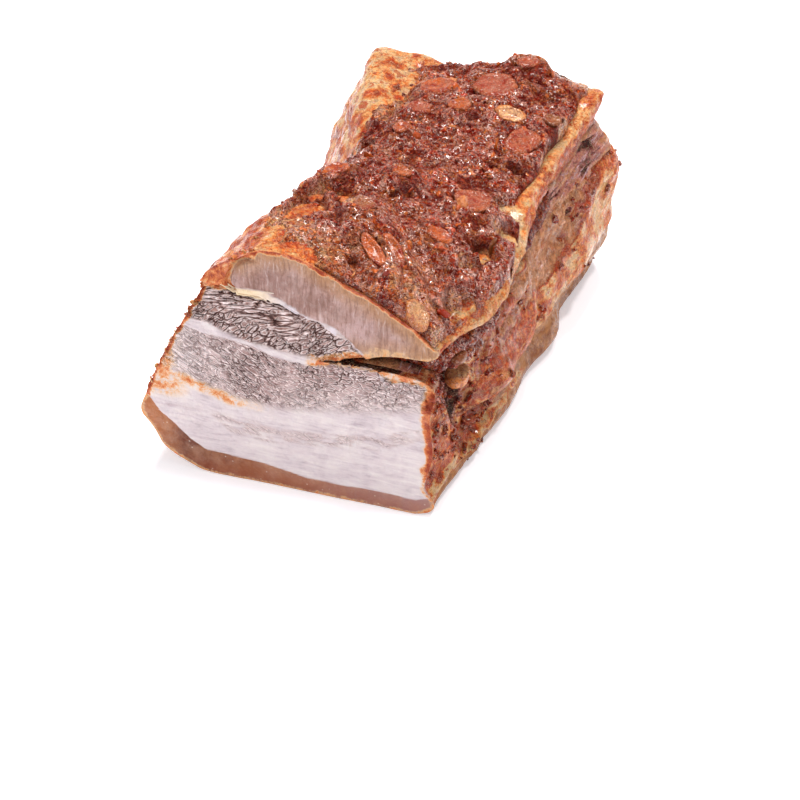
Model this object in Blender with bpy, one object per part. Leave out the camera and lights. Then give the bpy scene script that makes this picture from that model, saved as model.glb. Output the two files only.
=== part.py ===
"""A slab of spiced, baked pork belly bacon, rind side down and cut across at the front.

The slab lies along Y with the cut face towards -Y and the rind on the floor. A deep slit runs
into its right side, under a flap of lean meat. Chunky red spice paste coats the top and fills
the slit, and slices of garlic lie in it. Everything is in metres, +Z up.
"""

import math

import bmesh
import bpy
from mathutils import Matrix, Vector, geometry, noise
from mathutils.bvhtree import BVHTree

# Driving sizes of the slab
LENGTH = 0.1246  # from the foot of the cut face to the back
HALF_WIDTH = 0.042  # of the rind, from the middle line to its right edge
HEIGHT = 0.072  # from the floor to the crown of the cut face
RIND = 0.0052  # thickness of the cooked skin
CUT_LEAN = 0.075  # how far the cut face leans back, for each metre of height
CUT_SKEW = 0.10  # how far its right end lies back, for each metre of width
BACK_ROUNDING = 0.009
BACK_TURN = math.radians(78)  # how far round the end's rounding goes
BROAD_SWELL, BROAD_WAVE = 0.0013, 0.0167  # height and length of the meat's broad unevenness
FINE_SWELL, FINE_WAVE = 0.0006, 0.0067

# Upright folds in the right side: (place along Y at the floor, slant back for each metre of
# height, half width, depth, with a negative depth for a ridge)
SIDE_FOLDS = (
    (-0.0275, -0.36, 0.0058, 0.0052),
    (-0.0130, -0.36, 0.0050, -0.0020),
    (0.0070, 0.10, 0.0045, 0.0022),
    (0.0300, 0.20, 0.0060, -0.0014),
)

# The coat of paste, the filling of the slit, and how pieces lie on each other
GAP = 0.00035  # between two solids that touch
COAT_MIN = 0.0007
COAT_LUMP = 0.0024
FILL_DEPTH = 0.66  # how far into the slit the paste reaches, as a share of its depth
FILL_FROM, FILL_TO = 0.035, 0.66  # along the slab

# Mesh densities
RINGS = 38
CAP_SPACING = 0.0038
COAT_COLUMNS = 21
COAT_ROWS = 36
FILL_ROWS = 24

# How the section changes from the cut face to the back, at even steps along the slab.
# Widths are shares of HALF_WIDTH and heights are shares of HEIGHT.
RIND_RIGHT = (0.905, 0.94, 0.985, 0.985, 0.985, 1.02, 1.02)
FAT_RIGHT = (0.87, 0.93, 0.985, 1.01, 1.04, 1.10, 1.13)
SHOULDER_RIGHT = (0.875, 0.93, 0.95, 0.975, 1.00, 1.06, 1.08)
FLAP_RIGHT = (0.86, 1.03, 1.02, 0.965, 0.97, 1.03, 1.07)
SLIT_END = (0.08, 0.20, 0.42, 0.58, 0.68, 0.74, 0.78)
SLIT_LOW = (0.60, 0.60, 0.595, 0.60, 0.605, 0.61, 0.61)
SLIT_HIGH = (0.69, 0.695, 0.68, 0.68, 0.685, 0.69, 0.69)
TOP_RIGHT = (0.775, 0.80, 0.795, 0.79, 0.80, 0.805, 0.84)
TOP_MID_RIGHT = (0.90, 0.905, 0.875, 0.85, 0.845, 0.845, 0.84)
TOP_MID_LEFT = (1.00, 0.985, 0.92, 0.85, 0.81, 0.78, 0.755)
TOP_LEFT = (0.935, 0.915, 0.83, 0.76, 0.79, 0.815, 0.81)
SHOULDER_LEFT = (0.43, 0.42, 0.29, 0.24, 0.38, 0.51, 0.59)
LEFT_INSET = (0.00, 0.05, 0.22, 0.28, 0.17, 0.05, 0.03)  # the waist of the left side
RIND_CURL = (0.25, 0.17, 0.12, 0.11, 0.13, 0.15, 0.14)  # how high its left edge turns up


def along(t, values):
    """A smooth curve through evenly spaced values, read at t from 0 to 1."""
    spans = len(values) - 1
    place = unit(t) * spans
    i = min(int(place), spans - 1)
    near = [values[min(max(i + k, 0), spans)] for k in (-1, 0, 1, 2)]
    return catmull(*near, place - i)


def unit(value):
    """The value, kept between 0 and 1."""
    return min(max(value, 0.0), 1.0)


def catmull(a, b, c, d, f):
    """The Catmull-Rom curve between b and c."""
    return b + 0.5 * f * (
        c - a + f * (2 * a - 5 * b + 4 * c - d + f * (3 * (b - c) + d - a))
    )


def section_corners(t):
    """The named corners of the section at t, as (x, z, steps to the next corner).

    They run anticlockwise seen from the front, from the middle of the base.
    """
    rind_x = HALF_WIDTH * along(t, RIND_RIGHT)
    fat_x = HALF_WIDTH * along(t, FAT_RIGHT)
    shoulder_x = HALF_WIDTH * along(t, SHOULDER_RIGHT)
    flap_x = HALF_WIDTH * along(t, FLAP_RIGHT)
    slit_x = HALF_WIDTH * along(t, SLIT_END)
    low_z = HEIGHT * along(t, SLIT_LOW)
    high_z = HEIGHT * along(t, SLIT_HIGH)
    end_z = (low_z + high_z) / 2 - 0.09 * (flap_x - slit_x)
    lip = 0.0009
    top_right = HEIGHT * along(t, TOP_RIGHT)
    left_x = -HALF_WIDTH * along(t, SHOULDER_LEFT)
    inset = HALF_WIDTH * along(t, LEFT_INSET)
    curl = HEIGHT * along(t, RIND_CURL)
    top_left = HEIGHT * along(t, TOP_LEFT)
    tip_x = -0.975 * HALF_WIDTH + inset

    def left(share):
        """A place on the left side, from the rind's tip at 0 to the top shoulder at 1."""
        bulge = 0.0020 * math.sin(math.pi * share)
        return tip_x + share * (left_x - tip_x) - bulge, curl + share * (top_left - curl)

    return [
        (0.30 * HALF_WIDTH, 0.0, 3),
        (rind_x - 0.0055, 0.0, 2),
        (rind_x, 0.55 * RIND, 2),
        (rind_x - 0.0006, 1.15 * RIND, 2),
        (fat_x - 0.0022, 1.75 * RIND, 3),
        (fat_x, 0.26 * HEIGHT, 3),
        (0.5 * (fat_x + shoulder_x) - 0.0012, 0.43 * HEIGHT, 3),
        (shoulder_x, low_z - 0.0055, 2),
        (shoulder_x - 0.0030, low_z - 0.0008, 3),
        (0.55 * shoulder_x + 0.45 * slit_x, low_z + 0.0004, 3),
        (slit_x + 0.0010, end_z - lip, 1),
        (slit_x, end_z, 1),
        (slit_x + 0.0010, end_z + lip, 3),
        (0.55 * flap_x + 0.45 * slit_x, high_z - 0.0010, 3),
        (flap_x - 0.0026, high_z, 2),
        (flap_x, 0.45 * high_z + 0.55 * top_right, 2),
        (flap_x - 0.0034, top_right, 4),
        (0.45 * HALF_WIDTH, HEIGHT * along(t, TOP_MID_RIGHT), 5),
        (-0.08 * HALF_WIDTH, HEIGHT * along(t, TOP_MID_LEFT), 4),
        (left_x, top_left, 3),
        (*left(0.80), 3),
        (*left(0.55), 3),
        (*left(0.30), 3),
        (*left(0.08), 2),
        (tip_x - 0.0004, curl - 0.35 * RIND, 2),
        (tip_x + 0.0062, 0.46 * curl, 3),
        (tip_x + 0.0155, 0.12 * curl, 2),
        (tip_x + 0.0225, 0.0, 3),
    ]


# Corners that other pieces are fitted to, as numbers in the list above
MOUTH_LOW, SLIT_INNER_LOW, SLIT_INNER_HIGH, MOUTH_HIGH = 8, 10, 12, 14


def section_point(t, place):
    """The point (x, z) of the section at t, where place counts corners and may be a fraction."""
    corners = section_corners(t)
    count = len(corners)
    k = int(math.floor(place)) % count
    f = place - math.floor(place)
    near = [corners[(k + step) % count] for step in (-1, 0, 1, 2)]
    x, z = (catmull(*(corner[axis] for corner in near), f) for axis in (0, 1))
    return x, max(z, 0.0)


def cut_y(x, z):
    """Where the leaning, slightly skewed cut face is."""
    return -LENGTH / 2 + CUT_SKEW * x + CUT_LEAN * z


def rounding(t):
    """(y share, inset) near the back, where the slab's end is rounded over."""
    start = 1.0 - BACK_ROUNDING / LENGTH
    if t <= start:
        return t, 0.0
    angle = (t - start) / (1.0 - start) * BACK_TURN
    return (
        start + (1.0 - start) * math.sin(angle),
        BACK_ROUNDING * (1.0 - math.cos(angle)),
    )


def unevenness(point):
    """How far the meat's surface stands proud at a point."""
    broad = BROAD_SWELL * noise.noise(point / BROAD_WAVE + Vector((3.1, 7.7, 1.3)))
    fine = FINE_SWELL * noise.noise(point / FINE_WAVE + Vector((9.2, 0.4, 5.6)))
    return broad + fine - side_folds(point)


def side_folds(point):
    """How deep the folds of the right side are at a point. They end above the rind and at the slit."""
    on_side = unit((point.x - 0.030) / 0.006)
    above_rind = unit((point.z - RIND) / 0.010)
    under_slit = unit((0.62 * HEIGHT - point.z) / 0.003)
    depth = 0.0
    for place, slant, half_width, fold_depth in SIDE_FOLDS:
        across = (point.y - place - slant * point.z) / half_width
        depth += fold_depth * math.exp(-across * across)
    return depth * on_side * above_rind * under_slit


def surface_point(t, place):
    """A point of the slab's outside, from the cut face at t 0 to the back at t 1."""
    share, inset = rounding(t)
    x, z = section_point(share, place)
    x_near, z_near = section_point(share, place + 0.02)
    x_back, z_back = section_point(share, place - 0.02)
    normal = Vector((z_near - z_back, 0.0, x_back - x_near)).normalized()
    middle_x, middle_z = 0.05 * HALF_WIDTH, 0.42 * HEIGHT
    x = middle_x + (x - middle_x) * (1.0 - inset / HALF_WIDTH)
    z = middle_z + (z - middle_z) * (1.0 - inset / middle_z)
    y = (1.0 - share) * cut_y(x, z) + share * LENGTH / 2
    point = Vector((x, y, z))
    on_base = min(1.0, z / 0.004)
    in_slit = MOUTH_LOW < place < MOUTH_HIGH
    proud = unevenness(point) * on_base * (0.25 if in_slit else 1.0)
    point += normal * proud
    if share < 1e-6:
        point.y = cut_y(point.x, point.z)
    point.z = max(point.z, 0.0)
    return point


def outward(t, place):
    """The outward direction of the slab's surface."""
    step = 0.01
    across = surface_point(t, place + 0.1) - surface_point(t, place - 0.1)
    lengthwise = surface_point(min(t + step, 1.0), place) - surface_point(max(t - step, 0.0), place)
    return across.cross(lengthwise).normalized() * -1.0


def places_around():
    """The places of one ring's points."""
    found = []
    for k, (_, _, steps) in enumerate(section_corners(0.0)):
        found += [k + i / steps for i in range(steps)]
    return found


def ring_shares():
    """Where the rings lie, with a few close together in the rounded back."""
    back = 1.0 - BACK_ROUNDING / LENGTH
    straight = [back * i / (RINGS - 5) for i in range(RINGS - 4)]
    return straight + [back + (1.0 - back) * (i + 1) / 4 for i in range(4)]


def fibre_relief(x, z):
    """How far the cut face stands proud of its plane: fat swells and the coarse lean is sunk."""
    height = z / HEIGHT + 0.16 * (x / HALF_WIDTH) ** 2 * (0.6 if x > 0 else -0.5)
    lean = math.exp(-(((height - 0.45) / 0.09) ** 2))
    coarse = math.exp(-(((height - 0.68) / 0.08) ** 2)) * (1.0 if x < 0.4 * HALF_WIDTH else 0.3)
    folds = noise.noise(Vector((x * 130.0, 0.0, z * 420.0)))
    return 0.0004 - 0.0008 * lean - 0.0013 * coarse + 0.0008 * coarse * folds


def cap(mesh, ring, relief, facing):
    """Closes a ring of vertices with a triangulated face that stands proud by relief."""
    outline = [Vector((v.co.x, v.co.z)) for v in ring]
    inside = []
    x_low, x_high = min(p.x for p in outline), max(p.x for p in outline)
    z_low, z_high = min(p.y for p in outline), max(p.y for p in outline)
    rows = int((z_high - z_low) / CAP_SPACING)
    columns = int((x_high - x_low) / CAP_SPACING)
    for row in range(rows + 1):
        for column in range(columns + 1):
            spot = Vector(
                (
                    x_low + (column + 0.5 * (row % 2)) * CAP_SPACING,
                    z_low + (row + 0.4) * CAP_SPACING,
                )
            )
            if within(spot, outline, 0.35 * CAP_SPACING):
                inside.append(spot)
    points = outline + inside
    around = list(range(len(outline)))
    found, _, triangles, origins, _, _ = geometry.delaunay_2d_cdt(points, [], [around], 1, 1e-7)
    mean_y = sum(v.co.y for v in ring) / len(ring)
    vertices = []
    for spot, origin in zip(found, origins):
        first = origin[0]
        if first < len(ring):
            vertices.append(ring[first])
            continue
        base = cut_y(spot.x, spot.y) if facing < 0 else mean_y
        y = base + facing * relief(spot.x, spot.y)
        vertices.append(mesh.verts.new((spot.x, y, spot.y)))
    for triangle in triangles:
        mesh.faces.new([vertices[i] for i in triangle])


def within(spot, outline, margin):
    """Whether a spot is inside an outline and clear of it."""
    crossings = False
    for a, b in zip(outline, outline[1:] + outline[:1]):
        if (a.y > spot.y) != (b.y > spot.y):
            crossings ^= spot.x < a.x + (spot.y - a.y) / (b.y - a.y) * (b.x - a.x)
        near, share = geometry.intersect_point_line(spot, a, b)
        share = min(max(share, 0.0), 1.0)
        if ((a + (b - a) * share) - spot).length < margin:
            return False
    return crossings


def finish_object(name, mesh, material):
    """Makes an object of a bmesh, with its faces outwards and its round parts smooth."""
    bmesh.ops.remove_doubles(mesh, verts=mesh.verts, dist=1e-6)
    bmesh.ops.recalc_face_normals(mesh, faces=mesh.faces)
    data = bpy.data.meshes.new(name)
    mesh.to_mesh(data)
    mesh.free()
    data.shade_smooth()
    data.set_sharp_from_angle(angle=math.radians(50))
    data.materials.append(material)
    thing = bpy.data.objects.new(name, data)
    bpy.context.scene.collection.objects.link(thing)
    return thing


def skin_rings(mesh, rings, closed=True):
    """Joins rows of vertices with quads."""
    for near, far in zip(rings, rings[1:]):
        count = len(near) if closed else len(near) - 1
        for i in range(count):
            k = (i + 1) % len(near)
            mesh.faces.new((near[i], near[k], far[k], far[i]))


def finish(name, colour, roughness):
    """A plain finish."""
    material = bpy.data.materials.new(name)
    material.use_nodes = True
    shader = material.node_tree.nodes["Principled BSDF"]
    shader.inputs["Base Color"].default_value = (*colour, 1.0)
    shader.inputs["Roughness"].default_value = roughness
    return material


def make_slab():
    """The belly itself: rind, fat, lean and the flap above the slit, in one piece."""
    mesh = bmesh.new()
    places = places_around()
    rings = [[mesh.verts.new(surface_point(t, p)) for p in places] for t in ring_shares()]
    skin_rings(mesh, rings)
    cap(mesh, rings[0], fibre_relief, -1.0)
    cap(mesh, rings[-1], lambda x, z: 0.0012 * noise.noise(Vector((x * 140, 4.0, z * 200))), 1.0)
    return finish_object("belly_slab", mesh, finish("pork_belly", (0.62, 0.42, 0.33), 0.45))


# Slices of garlic on the coat: (x and y of the middle, length, width, thickness, turn about
# the upright in degrees, tip about their own length in degrees)
GARLIC = (
    (0.0165, 0.0403, 0.0135, 0.0125, 0.0022, 10, 0),
    (0.0245, 0.0285, 0.0098, 0.0052, 0.0020, 0, 24),
    (0.0302, 0.0205, 0.0112, 0.0082, 0.0023, 68, 6),
    (0.0015, 0.0372, 0.0104, 0.0096, 0.0022, -20, 4),
    (0.0005, 0.0245, 0.0072, 0.0060, 0.0020, 10, 6),
    (0.0008, 0.0118, 0.0052, 0.0040, 0.0020, 80, 0),
    (0.0345, 0.0325, 0.0056, 0.0052, 0.0024, 30, 0),
    (0.0122, 0.0275, 0.0068, 0.0046, 0.0020, -10, 0),
    (0.0206, 0.0538, 0.0066, 0.0058, 0.0020, 40, 0),
    (0.0092, -0.0134, 0.0052, 0.0048, 0.0020, 15, 0),
    (-0.0040, -0.0187, 0.0066, 0.0054, 0.0022, 20, 0),
    (0.0275, -0.0110, 0.0104, 0.0100, 0.0020, 0, 0),
    (0.0150, -0.0455, 0.0118, 0.0040, 0.0024, -38, 18),
    (0.0188, -0.0415, 0.0112, 0.0036, 0.0022, -42, 18),
    (0.0262, -0.0305, 0.0072, 0.0046, 0.0022, -10, 8),
    (0.0292, -0.0535, 0.0088, 0.0060, 0.0020, -35, 4),
    (0.0081, -0.0345, 0.0064, 0.0056, 0.0022, 60, 0),
)
# Chunks of garlic in the slit's mouth: (middle, length, width and thickness)
CHUNKS = (
    ((0.0345, -0.0440, 0.0425), (0.0060, 0.0050, 0.0040)),
    ((0.0360, -0.0395, 0.0325), (0.0082, 0.0060, 0.0052)),
)
CHUNK_SIDE = Vector((0.94, -0.16, 0.30))  # the way they face, out of the slit
# Where the coat's right and left edges run, as corner places of the section
COAT_RIGHT = (16.05, 16.10, 16.15, 16.25, 16.25, 16.25, 16.40)
COAT_LEFT = (18.45, 18.90, 19.15, 19.30, 18.95, 18.70, 18.40)
COAT_FRONT, COAT_BACK = 0.004, 0.985
COAT_LIFT = 2.2 * GAP
FILL_LIFT = 2.5 * GAP


def coat_place(share, across):
    """The corner place on the section, across the coat from its right edge at 0 to its left."""
    ragged = 0.16 * noise.noise(Vector((share * 9.0, 2.0, 0.0)))
    ragged_left = 0.30 * noise.noise(Vector((share * 8.0, 6.0, 0.0)))
    right = along(share, COAT_RIGHT) + ragged
    left = along(share, COAT_LEFT) + ragged_left
    return right + across * (left - right)


def under_garlic(point, spots):
    """How much of the coat's lumps stays at a point: none under a slice, a rim around it."""
    keep, rim = 1.0, 0.0
    for middle, reach in spots:
        distance = (point - middle).length / reach
        keep = min(keep, unit((distance - 0.95) / 0.35))
        rim = max(rim, math.exp(-(((distance - 1.35) / 0.18) ** 2)))
    return keep, rim


def coat_thickness(point, share, across, spots):
    """Thick and lumpy in the middle, thin at the ragged edges."""
    edge = unit(min(across, 1.0 - across, 0.6 * (share + 0.12)) / 0.16) ** 0.7
    lumps = 0.55 + 0.75 * noise.noise(point * 190.0) + 0.45 * noise.noise(point * 420.0)
    keep, rim = under_garlic(point, spots)
    lumps = max(lumps, 0.05) * keep + 0.55 * rim
    return COAT_MIN * (0.35 + 0.65 * edge) + COAT_LUMP * edge * lumps


def make_coat(spots):
    """The coat of chunky paste on the slab's top, one thin solid with a ragged edge."""
    mesh = bmesh.new()
    under, over = [], []
    for row in range(COAT_ROWS + 1):
        share = row / COAT_ROWS
        t = COAT_FRONT + share * (COAT_BACK - COAT_FRONT)
        low_row, high_row = [], []
        for column in range(COAT_COLUMNS + 1):
            across = column / COAT_COLUMNS
            place = coat_place(share, across)
            point, normal = surface_point(t, place), outward(t, place)
            thick = coat_thickness(point, share, across, spots)
            low_row.append(mesh.verts.new(point + normal * COAT_LIFT))
            high_row.append(mesh.verts.new(point + normal * (COAT_LIFT + thick)))
        under.append(low_row)
        over.append(high_row)
    skin_rings(mesh, over, closed=False)
    skin_rings(mesh, under, closed=False)
    for row in (0, -1):
        skin_rings(mesh, [under[row], over[row]], closed=False)
    for column in (0, -1):
        skin_rings(mesh, [[r[column] for r in under], [r[column] for r in over]], closed=False)
    return finish_object("paste_coat", mesh, PASTE_FINISH)


def surface_of(thing):
    """(tree of its faces, its points), for laying other pieces on it."""
    points = [v.co for v in thing.data.vertices]
    return BVHTree.FromPolygons(points, [f.vertices for f in thing.data.polygons]), points


def lay_on(mesh, supports, way):
    """Moves a mesh along way until it rests on its supports with a small gap."""
    bmesh.ops.translate(mesh, vec=way * clearance(mesh, supports, way), verts=mesh.verts)
    while any(BVHTree.FromBMesh(mesh).overlap(tree) for tree, _ in supports):
        bmesh.ops.translate(mesh, vec=way * 0.3 * GAP, verts=mesh.verts)
    bmesh.ops.translate(mesh, vec=way * GAP, verts=mesh.verts)


def clearance(mesh, supports, way):
    """How far a mesh has to move along way until it just meets one of its supports."""
    far = 0.02
    own_tree = BVHTree.FromBMesh(mesh)
    needed = []
    for tree, points in supports:
        for vertex in mesh.verts:
            met, _, _, _ = tree.ray_cast(vertex.co + way * far, -way, 2 * far)
            if met:
                needed.append((met - vertex.co).dot(way))
        for point in points:
            met, _, _, _ = own_tree.ray_cast(point - way * far, way, 2 * far)
            if met:
                needed.append((point - met).dot(way))
    return max(needed)


def on_top(slab_tree, spec):
    """The point of the slab's top under a garlic slice, and the outward direction there."""
    return slab_tree.ray_cast(Vector((spec[0], spec[1], 2 * HEIGHT)), Vector((0, 0, -1)))[:2]


def make_slice(name, middle, normal, supports, spec):
    """One garlic slice: a thin, slightly domed oval that rests on the coat."""
    _, _, length, width, thick, turn, tip = spec
    mesh = bmesh.new()
    bmesh.ops.create_cone(mesh, cap_ends=True, segments=14, radius1=0.5, radius2=0.5, depth=1.0)
    ends = [f for f in mesh.faces if len(f.verts) > 4]
    bmesh.ops.inset_region(mesh, faces=ends, thickness=0.10, use_even_offset=False)
    for vertex in mesh.verts:
        radius = math.hypot(vertex.co.x, vertex.co.y)
        heading = math.atan2(vertex.co.y, vertex.co.x)
        uneven = 1.0 + 0.06 * math.sin(3.0 * heading + turn)
        vertex.co.x *= length * uneven
        vertex.co.y *= width * uneven
        vertex.co.z *= thick * (0.55 if radius > 0.45 else 1.0)
    stand = Vector((0, 0, 1)).rotation_difference(normal).to_matrix()
    spin = Matrix.Rotation(math.radians(turn), 3, "Z")
    tilt = Matrix.Rotation(math.radians(tip), 3, "X")
    bmesh.ops.transform(mesh, matrix=(stand @ spin @ tilt).to_4x4(), verts=mesh.verts)
    bmesh.ops.translate(mesh, vec=middle, verts=mesh.verts)
    lay_on(mesh, supports, normal)
    return finish_object(name, mesh, GARLIC_FINISH)


def make_chunk(name, supports, spec):
    """One uneven chunk of garlic, pressed into the mouth of the slit."""
    middle, size = spec
    mesh = bmesh.new()
    bmesh.ops.create_icosphere(mesh, subdivisions=2, radius=0.5)
    for vertex in mesh.verts:
        uneven = 1.0 + 0.22 * noise.noise(vertex.co * 2.3 + Vector(middle) * 400.0)
        vertex.co = Vector([vertex.co[i] * size[i] * uneven for i in (1, 0, 2)])
    bmesh.ops.translate(mesh, vec=middle, verts=mesh.verts)
    lay_on(mesh, supports, CHUNK_SIDE.normalized())
    return finish_object(name, mesh, GARLIC_FINISH)


def fill_ring(share):
    """One ring of the slit's filling: along its floor, round the mouth, and back under the flap."""
    t = FILL_FROM + share * (FILL_TO - FILL_FROM)
    steps = 5
    deep = FILL_DEPTH * (0.8 + 0.2 * math.sin(math.pi * share))
    floor_run = MOUTH_LOW + (SLIT_INNER_LOW - MOUTH_LOW) * deep
    roof_run = MOUTH_HIGH - (MOUTH_HIGH - SLIT_INNER_HIGH) * deep
    floor, roof = [], []
    for i in range(steps + 1):
        back = 1.0 - i / steps
        on_floor = MOUTH_LOW + back * (floor_run - MOUTH_LOW)
        on_roof = MOUTH_HIGH - back * (MOUTH_HIGH - roof_run)
        floor.append(surface_point(t, on_floor) + outward(t, on_floor) * FILL_LIFT)
        roof.append(surface_point(t, on_roof) + outward(t, on_roof) * FILL_LIFT)
    swell = 0.0018 * noise.noise(Vector((share * 11.0, 3.0, 5.0))) - 0.0008
    swell += 0.0030 * unit((share - 0.10) / 0.25) * unit((1.0 - share) / 0.12)
    bulge = []
    for i in (1, 2, 3):
        middle = floor[-1].lerp(roof[-1], i / 4)
        middle.x += swell * math.sin(math.pi * i / 4)
        bulge.append(middle)
    return floor + bulge + roof[::-1]


def make_filling():
    """The paste that fills the slit, bulging a little from its mouth."""
    mesh = bmesh.new()
    rows = [fill_ring(row / FILL_ROWS) for row in range(FILL_ROWS + 1)]
    rings = [[mesh.verts.new(point) for point in row] for row in rows]
    skin_rings(mesh, rings)
    mesh.faces.new(rings[0])
    mesh.faces.new(rings[-1])
    return finish_object("paste_filling", mesh, PASTE_FINISH)


def centre_on_floor(things):
    """Moves everything so that the middle of its box's underside is the origin."""
    points = [v.co for thing in things for v in thing.data.vertices]
    low = [min(p[i] for p in points) for i in range(3)]
    high = [max(p[i] for p in points) for i in range(3)]
    shift = Vector((-(low[0] + high[0]) / 2, -(low[1] + high[1]) / 2, -low[2]))
    for thing in things:
        thing.data.transform(Matrix.Translation(shift))


for old in list(bpy.data.objects):
    bpy.data.objects.remove(old)
GARLIC_FINISH = finish("garlic", (0.55, 0.33, 0.14), 0.35)
PASTE_FINISH = finish("spice_paste", (0.36, 0.09, 0.05), 0.3)
things = [make_slab()]
slab_tree, slab_points = surface_of(things[0])
garlic_spots = [on_top(slab_tree, spec) for spec in GARLIC]
reaches = [0.5 * max(spec[2], spec[3]) for spec in GARLIC]
things.append(make_coat([(spot[0], reach) for spot, reach in zip(garlic_spots, reaches)]))
things.append(make_filling())
supports = [(slab_tree, slab_points)] + [surface_of(thing) for thing in things[1:]]
for number, (spec, spot) in enumerate(zip(GARLIC, garlic_spots), start=1):
    things.append(make_slice(f"garlic_slice_{number:02d}", *spot, supports, spec))
    supports.append(surface_of(things[-1]))
for number, spec in enumerate(CHUNKS, start=1):
    things.append(make_chunk(f"garlic_chunk_{number:02d}", supports, spec))
    supports.append(surface_of(things[-1]))
centre_on_floor(things)
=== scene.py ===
import itertools
import math

import bpy
import numpy as np
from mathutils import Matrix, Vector
from mathutils.bvhtree import BVHTree


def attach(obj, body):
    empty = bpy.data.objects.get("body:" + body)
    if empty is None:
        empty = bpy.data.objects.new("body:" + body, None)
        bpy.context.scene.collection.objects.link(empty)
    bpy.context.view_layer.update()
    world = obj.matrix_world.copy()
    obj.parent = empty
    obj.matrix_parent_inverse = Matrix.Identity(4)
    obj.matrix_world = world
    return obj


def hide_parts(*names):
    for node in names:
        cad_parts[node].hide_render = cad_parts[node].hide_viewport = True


# A cured and cooked slab of pork belly, cut across its front end, with a thick spice paste and
# garlic slices on top. Lengths are in millimetres and turn into metres where a mesh is written.
# The front, with the cut, faces -Y, and the loose flap of the top muscle opens towards +X.
MM = 0.001

# The camera: its place in metres, its angles in degrees, its lens and sensor in millimetres
CAMERA_PLACE = (0.17694, -0.43279, 0.40148)
CAMERA_TILT = 48
CAMERA_TURN = 22
CAMERA_LENS = 100
SENSOR = 36

# The knife's plane through the front: y = CUT_START + CUT_SKEW x + CUT_LEAN z
CUT_START = -61.478
CUT_SKEW = 0.10
CUT_LEAN = 0.075

# Mesh sizes
BODY_VOXEL = 1.08
FILLING_VOXEL = 0.55
MOUTH_VOXEL = 0.45
CUT_GRID = 0.385

# What the knife spans and how far out it reaches
CUT_WIDTH = (-50, 48)
CUT_HEIGHT = (-6, 82)
KNIFE_DEEP = 30

# How much of the slab's front is drawn out past the knife before it is cut, and how far
FRONT_DEEP = 1.5
SPARE = 8.0

# Behind the knife's plane, where the base gets a coarser mesh and the right side a finer one
BASE_FROM = 3.2
BASE_KEPT = 0.15
RIGHT_FROM = 1.2

# The layers of the cut, as the height of each one's upper edge at a few places across (x, z)
RIND_TOP = (
    (-44, 23), (-41.3, 21.5), (-38.4, 17.2), (-34, 13.4), (-30.3, 9.8), (-26, 7.6), (-11, 6.8), (0.6, 4.8),
    (30, 4.9), (36, 7.5), (44, 9.5),
)
STREAK_LOW = (
    (-26, 20.4), (-24.5, 19.3), (-19.1, 14.8), (-10.9, 14.2), (4.6, 16.5), (20.6, 19.1), (31, 24.6), (44, 26),
)
STREAK_TOP = (
    (-26, 20.4), (-23.1, 20.9), (-13.6, 20.3), (-6.2, 18.8), (4, 20), (18, 22.2), (31, 27.9), (44, 28),
)
LEAN_LOW = (
    (-44, 34), (-32.4, 30.8), (-27, 28.8), (-18.9, 26.5), (-6.2, 25.7), (4.5, 27.8), (20.3, 31), (31, 33.5),
)
LEAN_TOP = (
    (-44, 46.5), (-30.8, 46), (-26.6, 44.6), (-13.2, 43.4), (-7.9, 41.6), (0.5, 41.2), (6, 42.4),
    (12.3, 44.8), (16.2, 44.4), (21.6, 41.6), (44, 42),
)
COARSE_LOW = ((-44, 48.6), (-25.1, 48.6), (-21.1, 46.4), (-17.2, 45), (-6.1, 44), (0, 43.6), (12, 43.6))
SLIT_TOP = ((0, 44), (10.7, 46.6), (15.7, 48.6), (21.5, 50.6), (26, 51))
COARSE_TOP = (
    (-44, 60), (-20.8, 60.4), (-18.3, 58.8), (-11.7, 58.9), (-6, 57.9), (-0.5, 56.0), (4, 54.7), (5.7, 53.4),
    (8.3, 51.9), (11, 50.8), (15, 47.5), (19, 43), (21, 38),
)
MEMBRANE_TOP = (
    (-44, 61), (-18.2, 60.6), (-11.7, 60.8), (-6.5, 59.8), (-0.5, 56.4), (4, 55.2), (8.3, 54.2), (11, 51.6),
    (12.6, 49.6), (15.4, 47.7), (19.6, 43.2), (21.6, 38),
)


# ---------------------------------------------------------------- random fields
# Sizes are in millimetres, as one number or one for each axis. The last whole number is a field's own seed.


def stack(x, y, z):
    """Places from their coordinates, any of which may be one number for all of them."""
    return np.stack(np.broadcast_arrays(x, y, z), axis=-1)


def scatter(cell, seed):
    """A settled random number from 0 to 1 for each whole-number cell."""
    c = cell.astype(np.int64)
    h = c[..., 0] * 374761393 + c[..., 1] * 668265263 + c[..., 2] * 1440662683 + seed * 1274126177
    h = (h ^ (h >> 13)) * 1103515245
    h = (h ^ (h >> 17)) * 668265263
    return ((h ^ (h >> 15)) & 0xFFFFFF) / 0xFFFFFF


def swell(at, size, seed):
    """Smooth rise and fall from -1 to 1, with features of the given size."""
    q = at / np.asarray(size, float)
    cell = np.floor(q).astype(np.int64)
    t = q - cell
    t = t * t * (3 - 2 * t)
    total = np.zeros(len(q))
    for corner in itertools.product((0, 1), repeat=3):
        weight = np.prod(np.where(corner, t, 1 - t), axis=-1)
        total += weight * scatter(cell + np.array(corner), seed)
    return total * 2 - 1


def rough(at, size, octaves, seed):
    """Swells laid on each other, each half the size of the one before."""
    total = np.zeros(len(at))
    for k in range(octaves):
        total += swell(at, np.asarray(size, float) / 2**k, seed + 17 * k) / 2**k
    return total / (2 - 2.0 ** (1 - octaves))


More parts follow.
